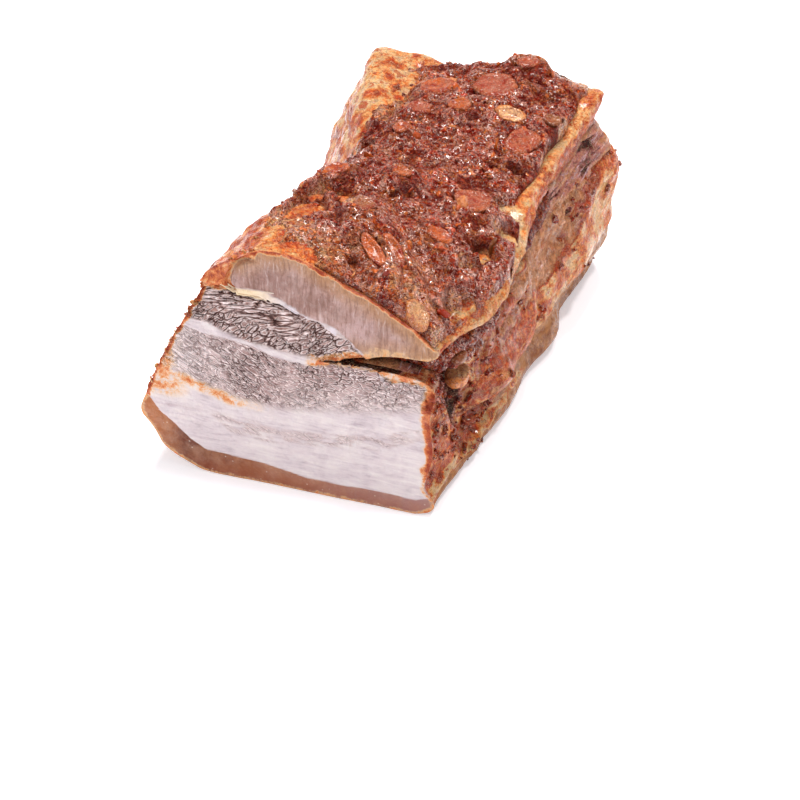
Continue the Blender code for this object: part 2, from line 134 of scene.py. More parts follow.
def grains(at, size, seed):
    """Distances to the nearest two of many scattered points, over their spacing, and the nearest's number."""
    q = at / np.asarray(size, float)
    cell = np.floor(q).astype(np.int64)
    near = np.full(len(q), 9.0)
    second = near.copy()
    own = np.zeros(len(q))
    for neighbour in itertools.product((-1, 0, 1), repeat=3):
        there = cell + np.array(neighbour)
        point = there + np.stack([scatter(there, seed + k) for k in range(3)], axis=-1)
        away = np.linalg.norm(point - q, axis=-1)
        closer = away < near
        second = np.where(closer, near, np.minimum(second, away))
        own = np.where(closer, scatter(there, seed + 3), own)
        near = np.where(closer, away, near)
    return near, second, own


def seams(at, size, low, high, seed):
    """A net that is 1 halfway between two scattered points and 0 near either of them."""
    near, second, _ = grains(at, size, seed)
    return 1 - step(second - near, low, high)


def dome(near, size):
    """A round-topped grain around each scattered point."""
    return np.sqrt(np.clip(1 - (near / size) ** 2, 0, 1))


# ---------------------------------------------------------------- steps, lines and patches

# Each coordinate of a place is passed on its own here, as an array with a number for each place.


def step(value, low, high):
    """0 below low, 1 above high, and smooth in between."""
    t = np.clip((value - low) / (high - low), 0, 1)
    return t * t * (3 - 2 * t)


def bump(distance):
    """1 in the middle, falling smoothly to 0 at a distance of 1."""
    return 1 - step(distance, 0.05, 1.0)


def layer(under, over, share):
    return under + (over - under) * share


def band(value, low, high, soft):
    """1 between low and high, fading over soft at both ends."""
    return step(value, low - soft / 2, low + soft / 2) * (1 - step(value, high - soft / 2, high + soft / 2))


def along(line, at):
    """A named line's value at each place along it."""
    return np.interp(at, *zip(*line))


def oval(u, v, middle_u, middle_v, half_u, half_v):
    """How far each place lies from an oval's middle: 1 is its outline."""
    return np.hypot((u - middle_u) / half_u, (v - middle_v) / half_v)


def patches(y, z, places, wobble):
    """How far each place of a side belongs to the strongest of the listed patches."""
    most = np.zeros_like(y)
    for *where, amount in places:
        most = np.maximum(most, amount * (1 - step(oval(y, z, *where) + wobble, 0.7, 1.05)))
    return most


def spots(x, y, places, wobble):
    """How far each place of the top belongs to the strongest of the listed round spots."""
    most = np.zeros_like(x)
    for a, b, radius, amount in places:
        away = np.hypot(x - a, y - b) / radius + wobble
        most = np.maximum(most, amount * (1 - step(away, 0.62, 1.12)))
    return most


# ---------------------------------------------------------------- mesh helpers

# Where rays start: higher than every piece, and further right
ABOVE = 120.0
BESIDE = 80.0


def choose(piece):
    """Leaves this piece alone selected and active."""
    bpy.ops.object.select_all(action="DESELECT")
    piece.select_set(True)
    bpy.context.view_layer.objects.active = piece


def read(items, name, width, kind=float):
    """One measure of every item, with a row for each."""
    values = np.empty(len(items) * width, kind)
    items.foreach_get(name, values)
    return values.reshape(-1, width)


def points(piece):
    return read(piece.data.vertices, "co", 3) / MM


def place(piece, at):
    piece.data.vertices.foreach_set("co", (at * MM).ravel())
    piece.data.update()


def directions(piece):
    """The outward direction at each vertex."""
    return read(piece.data.vertex_normals, "vector", 3)


def faces_of(piece):
    """The centre, the direction and the area of each face."""
    faces = piece.data.polygons
    return read(faces, "center", 3) / MM, read(faces, "normal", 3), read(faces, "area", 1)[:, 0]


def paint(piece, **fields):
    """Keeps numbers for each vertex, which the materials read by their names."""
    for name, numbers in fields.items():
        each = np.empty(len(piece.data.vertices), np.float32)
        each[:] = numbers
        piece.data.attributes.new(name, "FLOAT", "POINT").data.foreach_set("value", each)


def kept(piece, name):
    """The numbers that paint kept under a name."""
    return read(piece.data.attributes[name].data, "value", 1, np.float32)[:, 0]


def new_piece(operator, name, **settings):
    """A piece made by one of the operators that add a shape."""
    bpy.ops.object.select_all(action="DESELECT")
    operator(**settings)
    piece = bpy.context.object
    piece.name = name
    return piece


def grid(name, columns, rows):
    """A flat grid with its places from 0 to 1 along and across."""
    shape = bpy.ops.mesh.primitive_grid_add
    piece = new_piece(shape, name, x_subdivisions=columns, y_subdivisions=rows, size=1)
    at = points(piece) * MM + 0.5
    return piece, at[:, 0], at[:, 1]


def joined(pieces, first):
    """The pieces as one, in which this one's corners come first."""
    for piece in pieces:
        piece.select_set(True)
    bpy.context.view_layer.objects.active = first
    bpy.ops.object.join()
    return bpy.context.object


def edit_all(piece, operator, **settings):
    """Runs an edit-mode operator on the whole piece."""
    choose(piece)
    bpy.ops.object.mode_set(mode="EDIT")
    bpy.ops.mesh.select_all(action="SELECT")
    operator(**settings)
    bpy.ops.object.mode_set(mode="OBJECT")


def edit_faces(piece, wanted, operator, **settings):
    """Runs an edit-mode operator on the wanted faces."""
    choose(piece)
    bpy.ops.object.mode_set(mode="EDIT")
    bpy.ops.mesh.select_mode(type="FACE")
    bpy.ops.mesh.select_all(action="DESELECT")
    bpy.ops.object.mode_set(mode="OBJECT")
    piece.data.polygons.foreach_set("select", wanted)
    bpy.ops.object.mode_set(mode="EDIT")
    operator(**settings)
    bpy.ops.object.mode_set(mode="OBJECT")


def face_outwards(piece):
    edit_all(piece, bpy.ops.mesh.normals_make_consistent, inside=False)


def merged_copy(solid, name):
    """A piece with a solid's shape, its loose triangles joined."""
    piece = bpy.data.objects.new(name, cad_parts[solid].data.copy())
    bpy.context.scene.collection.objects.link(piece)
    piece.data.materials.clear()
    edit_all(piece, bpy.ops.mesh.remove_doubles, threshold=0.01 * MM)
    for spare in [a for a in piece.data.attributes if a.name in ("custom_normal", "UVMap")]:
        piece.data.attributes.remove(spare)
    return piece


def modify(piece, kind, **settings):
    """Adds a modifier with these settings and applies it."""
    choose(piece)
    bpy.ops.object.modifier_add(type=kind)
    modifier = piece.modifiers[-1]
    for name, value in settings.items():
        setattr(modifier, name, value)
    bpy.ops.object.modifier_apply(modifier=modifier.name)


def remesh(piece, size, smoothings):
    """Gives a piece an even mesh of this size, smoothed this many times."""
    modify(piece, "REMESH", mode="VOXEL", voxel_size=size * MM)
    modify(piece, "SMOOTH", factor=0.5, iterations=smoothings)


def smooth_shaded(piece, angle):
    choose(piece)
    bpy.ops.object.shade_smooth_by_angle(angle=math.radians(angle))


def surface_tree(piece):
    """The piece's surface in millimetres, for finding places on it."""
    corners = [tuple(p.vertices) for p in piece.data.polygons]
    return BVHTree.FromPolygons(points(piece).tolist(), corners)


def first_met(tree, starts, way, axis, missing):
    """How far along an axis the surface lies that a ray from each start meets first."""
    hits = (tree.ray_cast(Vector(start), Vector(way))[0] for start in starts)
    return np.array([missing if hit is None else hit[axis] for hit in hits])


def heights_on(tree, x, y, missing):
    """The height of the top surface at each place."""
    return first_met(tree, stack(x, y, ABOVE), (0, 0, -1), 2, missing)


# ---------------------------------------------------------------- the cut


def cut_y(x, z):
    return CUT_START + CUT_SKEW * x + CUT_LEAN * z


def section(x, z):
    """What each place of the cross-section is made of, as masks from 0 to 1."""
    at = stack(x, 31.0, z)
    z = z + 0.55 * rough(at, (7, 7, 2.5), 4, 11)
    wide = 4.5
    close = 0.45
    over_rind = step(z - along(RIND_TOP, x), -close / 2, close / 2)
    frayed = z + 0.7 * rough(at, (8, 8, 0.9), 3, 12)
    streak_low = along(STREAK_LOW, x)
    streak = band(frayed - streak_low, 0, along(STREAK_TOP, x) - streak_low, 1.4)
    streak *= step(rough(at, (3.5, 3.5, 0.8), 3, 13), -0.35, 0.25)
    fade = np.interp(x, (-20, 10), (1.6, wide))
    lean = step(z - along(LEAN_LOW, x), -fade / 2, fade / 2)
    lean = lean * (1 - step(z - along(LEAN_TOP, x), -close, close))
    wavy = z + 0.9 * rough(at, (9, 9, 1.3), 3, 14)
    over_coarse = wavy - along(COARSE_TOP, x)
    over_membrane = step(wavy - along(MEMBRANE_TOP, x), 0, close)
    top = over_membrane * step(z, 44.5, 46)
    return dict(
        rind=1 - over_rind,
        streak=streak * over_rind,
        lean=lean,
        coarse=step(z - along(COARSE_LOW, x), -close, close) * (1 - step(over_coarse, -close, close)),
        membrane=step(over_coarse, 0, close) * (1 - over_membrane) * (1 - top),
        top=top,
    )


def end_lobe(x, z):
    """Distance from the middle of the top muscle's rounded left end: 1 is its outline."""
    return np.hypot((x + 10.5) / 8.2, (z - 63.0) / 6.4) + 0.10 * rough(stack(x, 0, z), 2.5, 3, 75)


def crack_field(x, z):
    """How deep the cooked lean's cracks go: a net in the fine muscle, long folds in the coarse one."""
    flat = stack(x, 0, z)
    warp = stack(rough(flat, 5, 3, 21), 0, rough(flat, 5, 3, 22))
    turn = math.radians(-32)
    down = x * math.cos(turn) + z * math.sin(turn)
    up = z * math.cos(turn) - x * math.sin(turn)
    slanting = seams(stack(down, 0, up) + 0.9 * warp, (3.3, 50, 1.45), 0.0, 0.24, 31)
    even = seams(flat + 1.2 * warp, (2.4, 50, 1.7), 0.0, 0.24, 32)
    share = step(x + 3 * warp[:, 0], -12, 2)
    net = slanting * (1 - share) + even * share
    uneven = np.clip(0.7 + 0.9 * rough(flat, (4, 4, 3), 3, 34), 0.15, 1)
    fold_height = z - 0.26 * x + 1.9 * rough(flat, (10, 10, 5), 3, 41)
    folds = np.abs(np.sin(fold_height * math.pi / 2.1 + 1.6 * rough(flat, (6, 6, 2), 3, 42)))
    layered = 1 - step(folds, 0.1, 0.8)
    curly = seams(flat + 2.2 * warp, (3.0, 50, 1.35), 0.03, 0.40, 33)
    high = step(z - 50 + 0.30 * (x + 12) + 2 * warp[:, 2], -1.5, 1.5) * (1 - step(x, -6, 4))
    folded = np.maximum(layered * high, curly * (1 - 0.7 * high))
    return net * uneven, folded * np.clip(0.75 + 0.5 * rough(flat, 4, 2, 35), 0.3, 1), high


def ribbon_gap(x, z):
    """The gap under the membrane, from 0 to 1: sunk into the cut, and darkened there as painted shade."""
    return band(z - along(COARSE_TOP, x), -1.3, 0.1, 0.5) * step(x, -24, -18) * (1 - step(x, -7, 1))


def cut_relief(x, z):
    """How far each place of the cut lies below (+) or above (-) the knife's plane."""
    masks = section(x, z)
    net, folded, _ = crack_field(x, z)
    flat = stack(x, 0, z)
    relief = 0.22 * rough(flat, 9, 2, 52) + 0.05 * rough(flat, (3, 3, 1.2), 2, 53)
    relief += masks["rind"] * 0.22
    relief += masks["streak"] * (0.10 + 0.35 * net)
    relief += masks["lean"] * (0.10 + 0.75 * net - 0.12 * rough(flat, (1.6, 1.6, 1.2), 2, 58))
    relief += masks["coarse"] * (1.1 * folded - 0.1 + 0.5 * rough(flat, (5, 5, 2.5), 3, 54))
    relief -= masks["membrane"] * (0.4 + 0.3 * rough(flat, (4, 4, 1), 2, 55))
    relief += 1.5 * ribbon_gap(x, z) * (0.7 + 0.5 * rough(flat, (6, 6, 2), 2, 56))
    relief += 1.2 * band(end_lobe(x, z), 0.98, 1.14, 0.12) * step(-x, 12, 14) * step(z, 58.5, 60)
    relief -= masks["top"] * (0.25 - 0.10 * rough(flat, (1.3, 1.3, 5), 2, 57))
    return relief


def make_knife():
    """A block with the cut's relief on its far side, which leaves that relief in what it is taken from."""
    wide = CUT_WIDTH[1] - CUT_WIDTH[0]
    high = CUT_HEIGHT[1] - CUT_HEIGHT[0]
    knife, u, v = grid("knife", round(wide / CUT_GRID), round(high / CUT_GRID))
    x = CUT_WIDTH[0] + u * wide
    z = CUT_HEIGHT[0] + v * high
    place(knife, stack(x, cut_y(x, z) + cut_relief(x, z), z))
    bpy.ops.object.mode_set(mode="EDIT")
    bpy.ops.mesh.select_mode(type="EDGE")
    bpy.ops.mesh.select_all(action="DESELECT")
    bpy.ops.mesh.select_non_manifold()
    bpy.ops.mesh.extrude_edges_move(TRANSFORM_OT_translate={"value": (0, -KNIFE_DEEP * MM, 0)})
    bpy.ops.mesh.edge_face_add()
    bpy.ops.object.mode_set(mode="OBJECT")
    face_outwards(knife)
    return knife


# ---------------------------------------------------------------- the slab

# Lines along the right side: the heights of the rind's top, the fat's top and the shoulder under the slit,
# and how far across the flap's edge lies and is then moved
SIDE_RIND = ((-60, 5), (-45, 6), (-30, 8), (-8, 11), (10, 12.5), (30, 14), (40, 17), (50, 18), (64, 17))
SIDE_FAT = (
    (-60, 14), (-30, 20), (-15, 25), (0, 26), (10, 24), (22, 24.5), (30, 27), (37, 31), (44, 34), (50, 45),
    (64, 47),
)
SHOULDER = ((-60, 38), (-30, 40.5), (64, 41.5))
FLAP_EDGE = (
    (-55, 31), (-47, 35.5), (-39, 39), (-31, 40.8), (-23, 40.9), (-15, 39.5), (-7, 38), (1, 37), (9, 36.4),
    (17, 37.2), (25, 38.3), (33, 39.5), (41, 41), (64, 41.4),
)
EDGE_SHIFT = (
    (-60, 0), (-39, 1.6), (-23, 0.6), (-7, 1.7), (1, 1.5), (17, 0), (33, -1.6), (41, -2.9), (64, -3.2),
)

# How far the flap's lip is let down into the slit at a few places across: (x, how far)
SLIT_PINCH = ((0, 0), (4, 1.9), (8, 2.5), (12, 2.6), (16, 1.7), (20, 0.6), (25, 0), (30, 0))

# The loose flap: the radius of its edge, its middle height, its underside and its pointed far corner
FLAP_ROLL = 5.0
FLAP_MIDDLE = 54.0
FLAP_UNDER = 46.5
FLAP_CORNER = (42.6, 64.4, 61.2)

# Broad swells: (middle, middle, half size, half size, how far), in y and z for the sides, x and y for the top
SIDE_SWELLS = ((60, 34, 22, 13, 4.0), (16, 6, 14, 11, 3.2))
TOP_SWELLS = ((-13, 62, 10, 12, 3.2), (27, 60, 10, 9, -1.2))
LEFT_SWELLS = ((-60, 4, 30, 9, -2.8), (-58, 63, 16, 7, -2.2))

# Lower edges of folds that hang over what is below them on the right side: (line, from y, to y, how proud)
SIDE_LIPS = (
    (((-34, 13), (-24, 14.5), (-10, 17), (4, 21)), -32, 6, 1.4),
    (((-30, 27), (-20, 31), (-6, 33), (8, 30)), -26, 4, 0.8),
    (SIDE_RIND, -60, 64, 0.45),
)

# Finishes of the outside, as places on one scale of colours that run into each other; the darkest place on it
# is painted shade, not a finish
GEL, CREAM, ORANGE, RUST, FLESH, STRAND, DARK = 0.04, 0.27, 0.42, 0.58, 0.74, 0.87, 1.0

# Patches of the right side: (y, z, half length, half height, how strong)
SIDE_PASTE = (
    (41, 39.5, 7, 4.0, 1.0), (34, 36, 4, 3.0, 0.9), (-34, 7, 8, 4, 0.9), (-50, 35, 5, 6, 0.8),
    (-27, 11, 6, 4, 0.8), (-18, 36, 8, 3, 0.7), (56, 40, 6, 6, 0.5), (-56, 10, 4, 6, 0.8),
    (-2, 30, 6, 2.5, 0.5), (12, 17, 5, 2.5, 0.6),
)
# Painted shade: patches over the right side's hollows, painted near-black
SIDE_DARK = (
    (-37, 24, 6.5, 8, 1.15), (-44, 30, 4.5, 5, 1.0), (30, 37, 2.2, 1.8, 0.9), (-28, 30, 1.2, 8, 0.8),
    (-21, 40, 7, 1.6, 0.8), (-13, 27, 7, 1.0, 0.7), (-30, 14, 5, 1.0, 0.8),
)
SIDE_ORANGE = (
    (-29.3, 9, 3, 2.4, 1.0), (-34, 5, 3, 2, 0.8), (-50, 18, 4.5, 5, 1.0), (-44, 12, 6, 5, 1.0),
    (-52, 9, 4, 4, 0.9), (38, 34.5, 2.6, 2.4, 1.0), (-20, 22, 10, 6, 1.0), (-6, 22, 9, 6, 1.0),
    (-12, 33, 10, 4, 0.9), (22, 20, 6, 3, 0.7), (45, 46, 6, 3, 0.8), (0, 15, 9, 4, 0.8), (56, 30, 8, 5, 0.4),
)

# Pale tufts on the flap's rim: (x, y, radius, how strong)
TUFTS = ((33, -2, 4.6, 1.0), (35, -12, 3.4, 0.9), (34, -24, 2.6, 0.6), (33, -43, 3.2, 0.7))

# Hollows (+) and bulges (-) of the right side: (y, z, half length, half height, how deep)
SIDE_DENTS = (
    (-38, 25, 6, 10, 3.2), (-43, 40, 8, 7, 2.0), (30, 36.5, 2.2, 2.2, 1.6), (-28, 31, 1.8, 9, 1.5),
    (22, 31, 8, 7, 1.2), (-6, 38, 8, 4, 1.0), (38, 34.5, 3, 2.6, -1.6), (-20, 23, 5, 8, -1.2),
    (-45, 12, 6, 6, -0.8), (-29, 9, 2.4, 2, -1.4), (43, 40, 8, 4, 0.7), (-50, 28, 3, 8, -0.8),
)

# How near the relief a vertex of the cut lies, and how far from the cut's outline distances are told apart
CUT_TOUCH = 0.03
RIM_REACH = 8.0


def flap_rim(y):
    """How far across the flap's edge lies, at each place along the slab."""
    return along(FLAP_EDGE, y) + along(EDGE_SHIFT, y)


def reshape(belly):
    """Gives the loose flap its crisp edge and pointed corner, and the sides their swells and ragged folds."""
    at = points(belly)
    out = directions(belly)
    x, y, z = at.T
    u = (x - along(FLAP_EDGE, y) + FLAP_ROLL) / FLAP_ROLL
    v = (z - FLAP_MIDDLE) / FLAP_ROLL
    on_flap = (z > FLAP_UNDER) & (x > 26)
    angle = np.arctan2(np.maximum(v, 0), np.maximum(u, 1e-6))
    square = (np.cos(angle) ** 8 + np.sin(angle) ** 8) ** (-1 / 8) - 1
    square *= on_flap * step(u, 0, 0.3) * step(v, 0, 0.3) * step(y, -52, -40)
    x = x + u * square * FLAP_ROLL
    z = z + v * square * FLAP_ROLL
    x = x + along(EDGE_SHIFT, y) * step(u, -1.2, 0.8) * on_flap
    for *where, far in SIDE_SWELLS:
        x = x + far * bump(oval(y, z, *where)) * step(x, 12, 32) * (z < FLAP_UNDER)
    for *where, far in LEFT_SWELLS:
        x = x + far * bump(oval(y, z, *where)) * step(-x, 10, 26)
    near_edge = on_flap * step(u, -0.4, 0.6) * step(v, -0.9, 0)
    torn = 1.5 * rough(at, (3.5, 2.6, 3), 3, 57) * near_edge * (1 - 0.4 * step(y, 0, 10))
    x = x + torn
    z = z + 0.5 * torn - 1.2 * near_edge * (1 - step(y, -4, 4)) * step(u, 0, 0.9)
    lip = step(z, 43.8, 44.5) * (1 - step(z, 48, 57)) * (1 - step(y, -50, -36))
    z = z - along(SLIT_PINCH, x) * (lip * (1 + 0.22 * rough(at, (1.8, 3, 9), 3, 56)))
    at = stack(x, y, z)
    away = np.linalg.norm((at - FLAP_CORNER) / (12, 13, 7), axis=1)
    at += (FLAP_CORNER - at) * (0.62 * bump(away) * (z > FLAP_UNDER + 3))[:, None]
    for *where, high in TOP_SWELLS:
        at[:, 2] += high * bump(oval(x, y, *where)) * (z > FLAP_UNDER)
    left = step(-out[:, 0], 0.1, 0.5) * step(z, 20, 26)
    ragged = left * rough(at, (4, 5, 3.2), 4, 69) + 0.35 * (out[:, 2] > 0.2) * rough(at, 4, 3, 68)
    place(belly, at + out * ragged[:, None])


def behind_cut(at):
    """How far each place lies behind the knife's plane."""
    return at[:, 1] - cut_y(at[:, 0], at[:, 2])


def shape_belly():
    belly = merged_copy("belly_slab", "cured_belly")
    at = points(belly)
    at[behind_cut(at) < FRONT_DEEP, 1] -= SPARE
    place(belly, at)
    remesh(belly, BODY_VOXEL, 5)
    reshape(belly)
    knife = make_knife()
    modify(belly, "BOOLEAN", operation="DIFFERENCE", object=knife, solver="MANIFOLD")
    bpy.data.objects.remove(knife)
    centre, facing, _ = faces_of(belly)
    base = (facing[:, 2] < -0.8) & (centre[:, 2] < 1.5) & (behind_cut(centre) > BASE_FROM)
    edit_faces(belly, base, bpy.ops.mesh.decimate, ratio=BASE_KEPT)
    centre, facing, _ = faces_of(belly)
    right = (facing[:, 0] > 0.25) & (centre[:, 0] > 22) & (behind_cut(centre) > RIGHT_FROM)
    edit_faces(belly, right, bpy.ops.mesh.subdivide, number_cuts=1)
    return belly


def outer_finish(at, out):
    """The finish of each place of the outside, with painted shade in its hollows and slit, and how far it
    stands out.
    """
    x, y, z = at.T
    right = step(out[:, 0], 0.15, 0.5) * step(x, 15, 18)
    up = step(out[:, 2], 0.3, 0.6)
    left = step(-out[:, 0], 0.2, 0.6) * (x < -10)
    wobble = 0.40 * rough(at, (3.5, 3.5, 3), 4, 59)
    fine = rough(at, 1.7, 3, 60)
    zone = 0.48 + 0.03 * left - 0.04 * up + 0.28 * rough(at, (3, 4.5, 3), 5, 74) + 0.08 * fine
    fat_top = z - along(SIDE_FAT, y) + 3.2 * wobble
    base = right * (1 - step(z, 46, 49))
    over_fat = base * step(fat_top, -0.6, 0.6)
    zone = layer(zone, CREAM + 0.07 + 0.26 * rough(at, 3, 5, 75), base * (1 - over_fat))
    zone = layer(zone, FLESH + 0.12 * rough(at, (2, 2, 6), 3, 76) + 0.10 * rough(at, 5, 3, 62), over_fat)
    mess = base * (1 - step(y + 4 * wobble, -22, -6))
    zone = layer(zone, 0.55 + 0.75 * rough(at, (4.2, 4.2, 3.2), 4, 66), 0.9 * mess * step(z, 6, 9))
    seam = right * band(fat_top, -2.2, 1.6, 1.4) * step(rough(at, (3, 5, 3), 4, 77), -0.15, 0.15)
    zone = layer(zone, RUST - 0.07 + 0.12 * fine, seam)
    oiled = right * patches(y, z, SIDE_ORANGE, wobble)
    zone = layer(zone, ORANGE + 0.07 + 0.16 * rough(at, 2.5, 4, 78), oiled)
    pasted = right * patches(y, z, SIDE_PASTE, wobble)
    zone = layer(zone, RUST + 0.10 * fine, pasted)
    # Painted shade in the side's hollows
    dark = right * patches(y, z, SIDE_DARK, wobble)
    zone = layer(zone, DARK - 0.06 + 0.12 * fine, dark)
    # The slit's walls: paste in the slit, painted near-black as painted shade
    slit_wall = step(np.abs(out[:, 2]), 0.2, 0.5) * band(x, 3, 35, 3) * band(z, 38, 52, 2)
    slit_wall = slit_wall * (1 - up * step(z, 50, 52))
    zone = layer(zone, DARK, slit_wall)
    past_rim = x - flap_rim(y)
    crest = band(past_rim + 3.0 * wobble, -5.0, 0.6, 1.4) * step(z, 52, 54) * step(y + 5 * wobble, -1, 5)
    thin_rim = band(past_rim + 1.5 * wobble, -1.1, 0.4, 0.6) * step(z, 50, 52)
    thin_rim = thin_rim * (1 - step(y, -2, 2)) * step(y, -56, -50)
    front_flap = up * step(past_rim, -8, -5) * (1 - step(y, -2, 4))
    zone = layer(zone, ORANGE + 0.02 + 0.6 * rough(at, (2.5, 5, 2.5), 4, 82), front_flap)
    zone = layer(zone, CREAM - 0.02 + 0.1 * fine, up * spots(x, y, TUFTS, 0.5 * wobble))
    zone = layer(zone, CREAM + 0.04, 0.8 * thin_rim)
    zone = layer(zone, CREAM + 0.09 + 0.30 * rough(at, (2.5, 4, 2.5), 5, 79), crest * up)
    bare = up * step(-x, -4, 4) * step(y, 12, 20)
    zone = layer(zone, CREAM + 0.10 + 0.5 * rough(at, (2.6, 3.6, 3), 5, 80), bare)
    shift = 7 * (y + 60) / 90 * step(-x, -5, 15)
    rind_top = np.where(right > 0.5, along(SIDE_RIND, y), along(RIND_TOP, x - shift))
    gel = step(rind_top - z + 1.6 * rough(at, (6, 6, 3), 4, 61), -0.4, 0.4) * (1 - up)
    zone = layer(zone, GEL + 0.05 * rough(at, 4, 3, 81), gel)
    zone = layer(zone, GEL, step(-out[:, 2], 0.55, 0.85) * (z < 3))

    pores = 1 - step(grains(at, (1.2, 1.5, 1.8), 63)[0], 0.12, 0.5)
    grit = dome(grains(at, 1.25, 67)[0], 0.72)
    lift = 0.42 * rough(at, 5.5, 4, 64) + 0.3 * rough(at, (2.5, 5, 2.5), 3, 65) * (1 - gel) - 0.1
    lift += 0.16 * fine
    lift -= over_fat * (0.35 + 0.35 * pores)
    lift += np.maximum(pasted, 0.6 * seam) * 0.55 * grit
    for line, start, end, proud in SIDE_LIPS:
        above = z - along(line, y) + 1.2 * wobble
        here = right * band(y, start, end, 5)
        shelf = step(above, -0.5, 0.5) * (1 - step(above, 1.5, 7)) - 0.5 * band(above, -3, -0.2, 1)
        lift += proud * here * shelf
        rim = here * (proud > 0.6) * band(above, -0.2, 0.8, 0.5)
        zone = layer(zone, CREAM + 0.06 + 0.05 * fine, rim * (1 - 0.7 * dark))
    for *where, deep in SIDE_DENTS:
        lift -= right * deep * (1 - step(oval(y, z, *where) + 0.3 * wobble, 0.2, 1.1))
    return zone, lift * (1 - 0.8 * slit_wall)


def nearest_rim(belly, on_cut, at):
    """Each cut vertex's distance from the cut's outline, up to a limit."""
    ends = read(belly.data.edges, "vertices", 2, np.int64)
    mixed = ends[on_cut[ends[:, 0]] != on_cut[ends[:, 1]]]
    rim = np.unique(np.where(on_cut[mixed[:, 0]], mixed[:, 0], mixed[:, 1]))
    away = np.full(len(at), RIM_REACH)
    edge = at[rim][:, [0, 2]]
    for part in np.array_split(np.flatnonzero(on_cut), 40):
        gaps = np.linalg.norm(at[part][:, None, [0, 2]] - edge[None], axis=-1)
        away[part] = np.minimum(gaps.min(axis=1), RIM_REACH)
    return away


def stains(x, z, ragged):
    """How much oil each place of the cut has soaked up, from its distance to the cut's outline."""
    flat = stack(x, 0, z)
    left_stain = 1 - step(x + 0.25 * np.abs(z - 30) + 4.5 * rough(flat, 7, 3, 72), -38, -27)
    left_stain *= step(z, 20, 26) * (1 - step(z, 44, 50))
    ochre = band(z - along(LEAN_LOW, x), -3.0, 0.4, 2.5) * (1 - step(x + 5 * rough(flat, 5, 2, 73), -20, -4))
    lips = band(z - 47, -7, 7, 3) * step(x, -2, 3)
    frayed = step(x, 22, 29) * band(z - 27, -14, 14, 6) * (1.6 + 1.6 * rough(flat, 3.5, 3, 78))
    edge_stain = (0.85 - 0.65 * lips) * (1 - step(ragged, 0.2, 1.3 - 0.2 * lips + np.maximum(frayed, 0)))
    over_slit = z - along(SLIT_TOP, x) + 1.6 * rough(flat, 2.5, 3, 76)
    hem = 0.17 * band(over_slit, -2.2, 0.4, 1.2) * band(x, 9, 26, 3)
    over_lean = z - along(LEAN_TOP, x) + 0.8 * rough(flat, 2.5, 3, 77)
    sill = 0.34 * band(over_lean, -0.6, 2.6, 1.2) * band(x, 1, 33, 3)
    end_fold = 0.55 * step(end_lobe(x, z), 0.98, 1.12) * step(-x, 11, 14) * step(z, 58, 60)
    return np.maximum.reduce([edge_stain, 0.29 * left_stain, 0.25 * ochre, end_fold, hem, sill])


def finish_belly(belly):
    """Works the sides of the slab and paints what the materials read."""
    at = points(belly)
    out = directions(belly)
    x, y, z = at.T
    depth = y - cut_y(x, z)
    on_cut = (np.abs(depth - cut_relief(x, z)) < CUT_TOUCH) & (out[:, 1] < 0.4)
    inset = nearest_rim(belly, on_cut, at)
    zone, lift = outer_finish(at, out)
    lift *= ~on_cut * step(depth, 0.2, 2.0)
    place(belly, at + out * lift[:, None])

    masks = section(x, z)
    net, folded, high = crack_field(x, z)
    flat = stack(x, 0, z)
    lean = masks["lean"]
    streak = masks["streak"]
    # Painted shade in the lean's cracks and folds, deepest in the gap under the membrane
    crack = lean * net + masks["coarse"] * folded + 0.45 * streak * net + 1.8 * ribbon_gap(x, z)
    pale = lean * np.interp(z - along(LEAN_LOW, x), (0, 9), (0.9, 0.1)) * step(x, -12, 0)
    pale += lean * np.interp(x, (-34, -14), (1.0, 0.1)) * (1 - step(x, -12, 0))
    ragged = inset + 0.6 * rough(flat, 2.2, 4, 71)
    in_rind = (masks["rind"] > 0.5) | (z < 12)
    paint(
        belly,
        lean=np.clip(lean + 0.75 * streak, 0, 1),
        coarse=masks["coarse"],
        layered=high,
        membrane=masks["membrane"],
        top=masks["top"],
        tan=(1 - step(ragged, 0.8, 6.5 + 2 * rough(flat, 6, 2, 70))) * step(z, 46, 50),
        pale=np.maximum(pale, streak * 0.7),
        crack=np.clip(crack, 0, 2),
        slant=1 - step(x + 3 * rough(flat, 5, 3, 21), -12, 2),
        rind=masks["rind"],
        stain=stains(x, z, ragged) * np.where(in_rind, 0.35, 1.0),
        zone=np.clip(zone, 0, 1),
        outer=~on_cut,
    )
    smooth_shaded(belly, 62)


# ---------------------------------------------------------------- torn strands, membrane and the slit's strip

# Torn flesh between the flap's edge and the slab's shoulder
WEB_ENDS = (-33, 61.0)
WEB_PITCH = 0.5
WEB_ROWS = 34
WEB_STATIONS = 60
WEB_SAG = 1.3
WEB_THICK = 1.4

# Ribbons of membrane that stand out of the cut: places along each (x, z), and its height
RIBBONS = (
    (((-22.6, 61.0), (-20.4, 60.6), (-17.9, 59.3), (-14.8, 60.1), (-10.9, 60.6), (-5.6, 61.0)), 0.75),
    (((-17.4, 58.9), (-15.5, 58.5), (-13.5, 58.9), (-11.8, 58.7), (-9.6, 59.0)), 0.6),
    (((-9.0, 58.3), (-6.0, 58.3), (-3.4, 57.2), (-0.6, 56.0)), 0.9),
)
RIBBON_PROUD = 0.8
RIBBON_STEP = 0.3
RIBBON_THICK = 1.2

# The strip of flesh that lies in the slit, along the cut: (x, its height off the slit's floor)
STRIP_HEIGHT = ((11, 0.2), (14, 0.6), (18, 0.9), (22, 0.9), (26, 0.7), (29, 0.2))
STRIP_FLOOR = ((0, 42.6), (12, 43.1), (20, 43.5), (28, 43.1))
STRIP_ENDS = (11.5, 28.5)
STRIP_CUTS = 72
STRIP_DEEP = 3.5
STRIP_INSET = 1.8


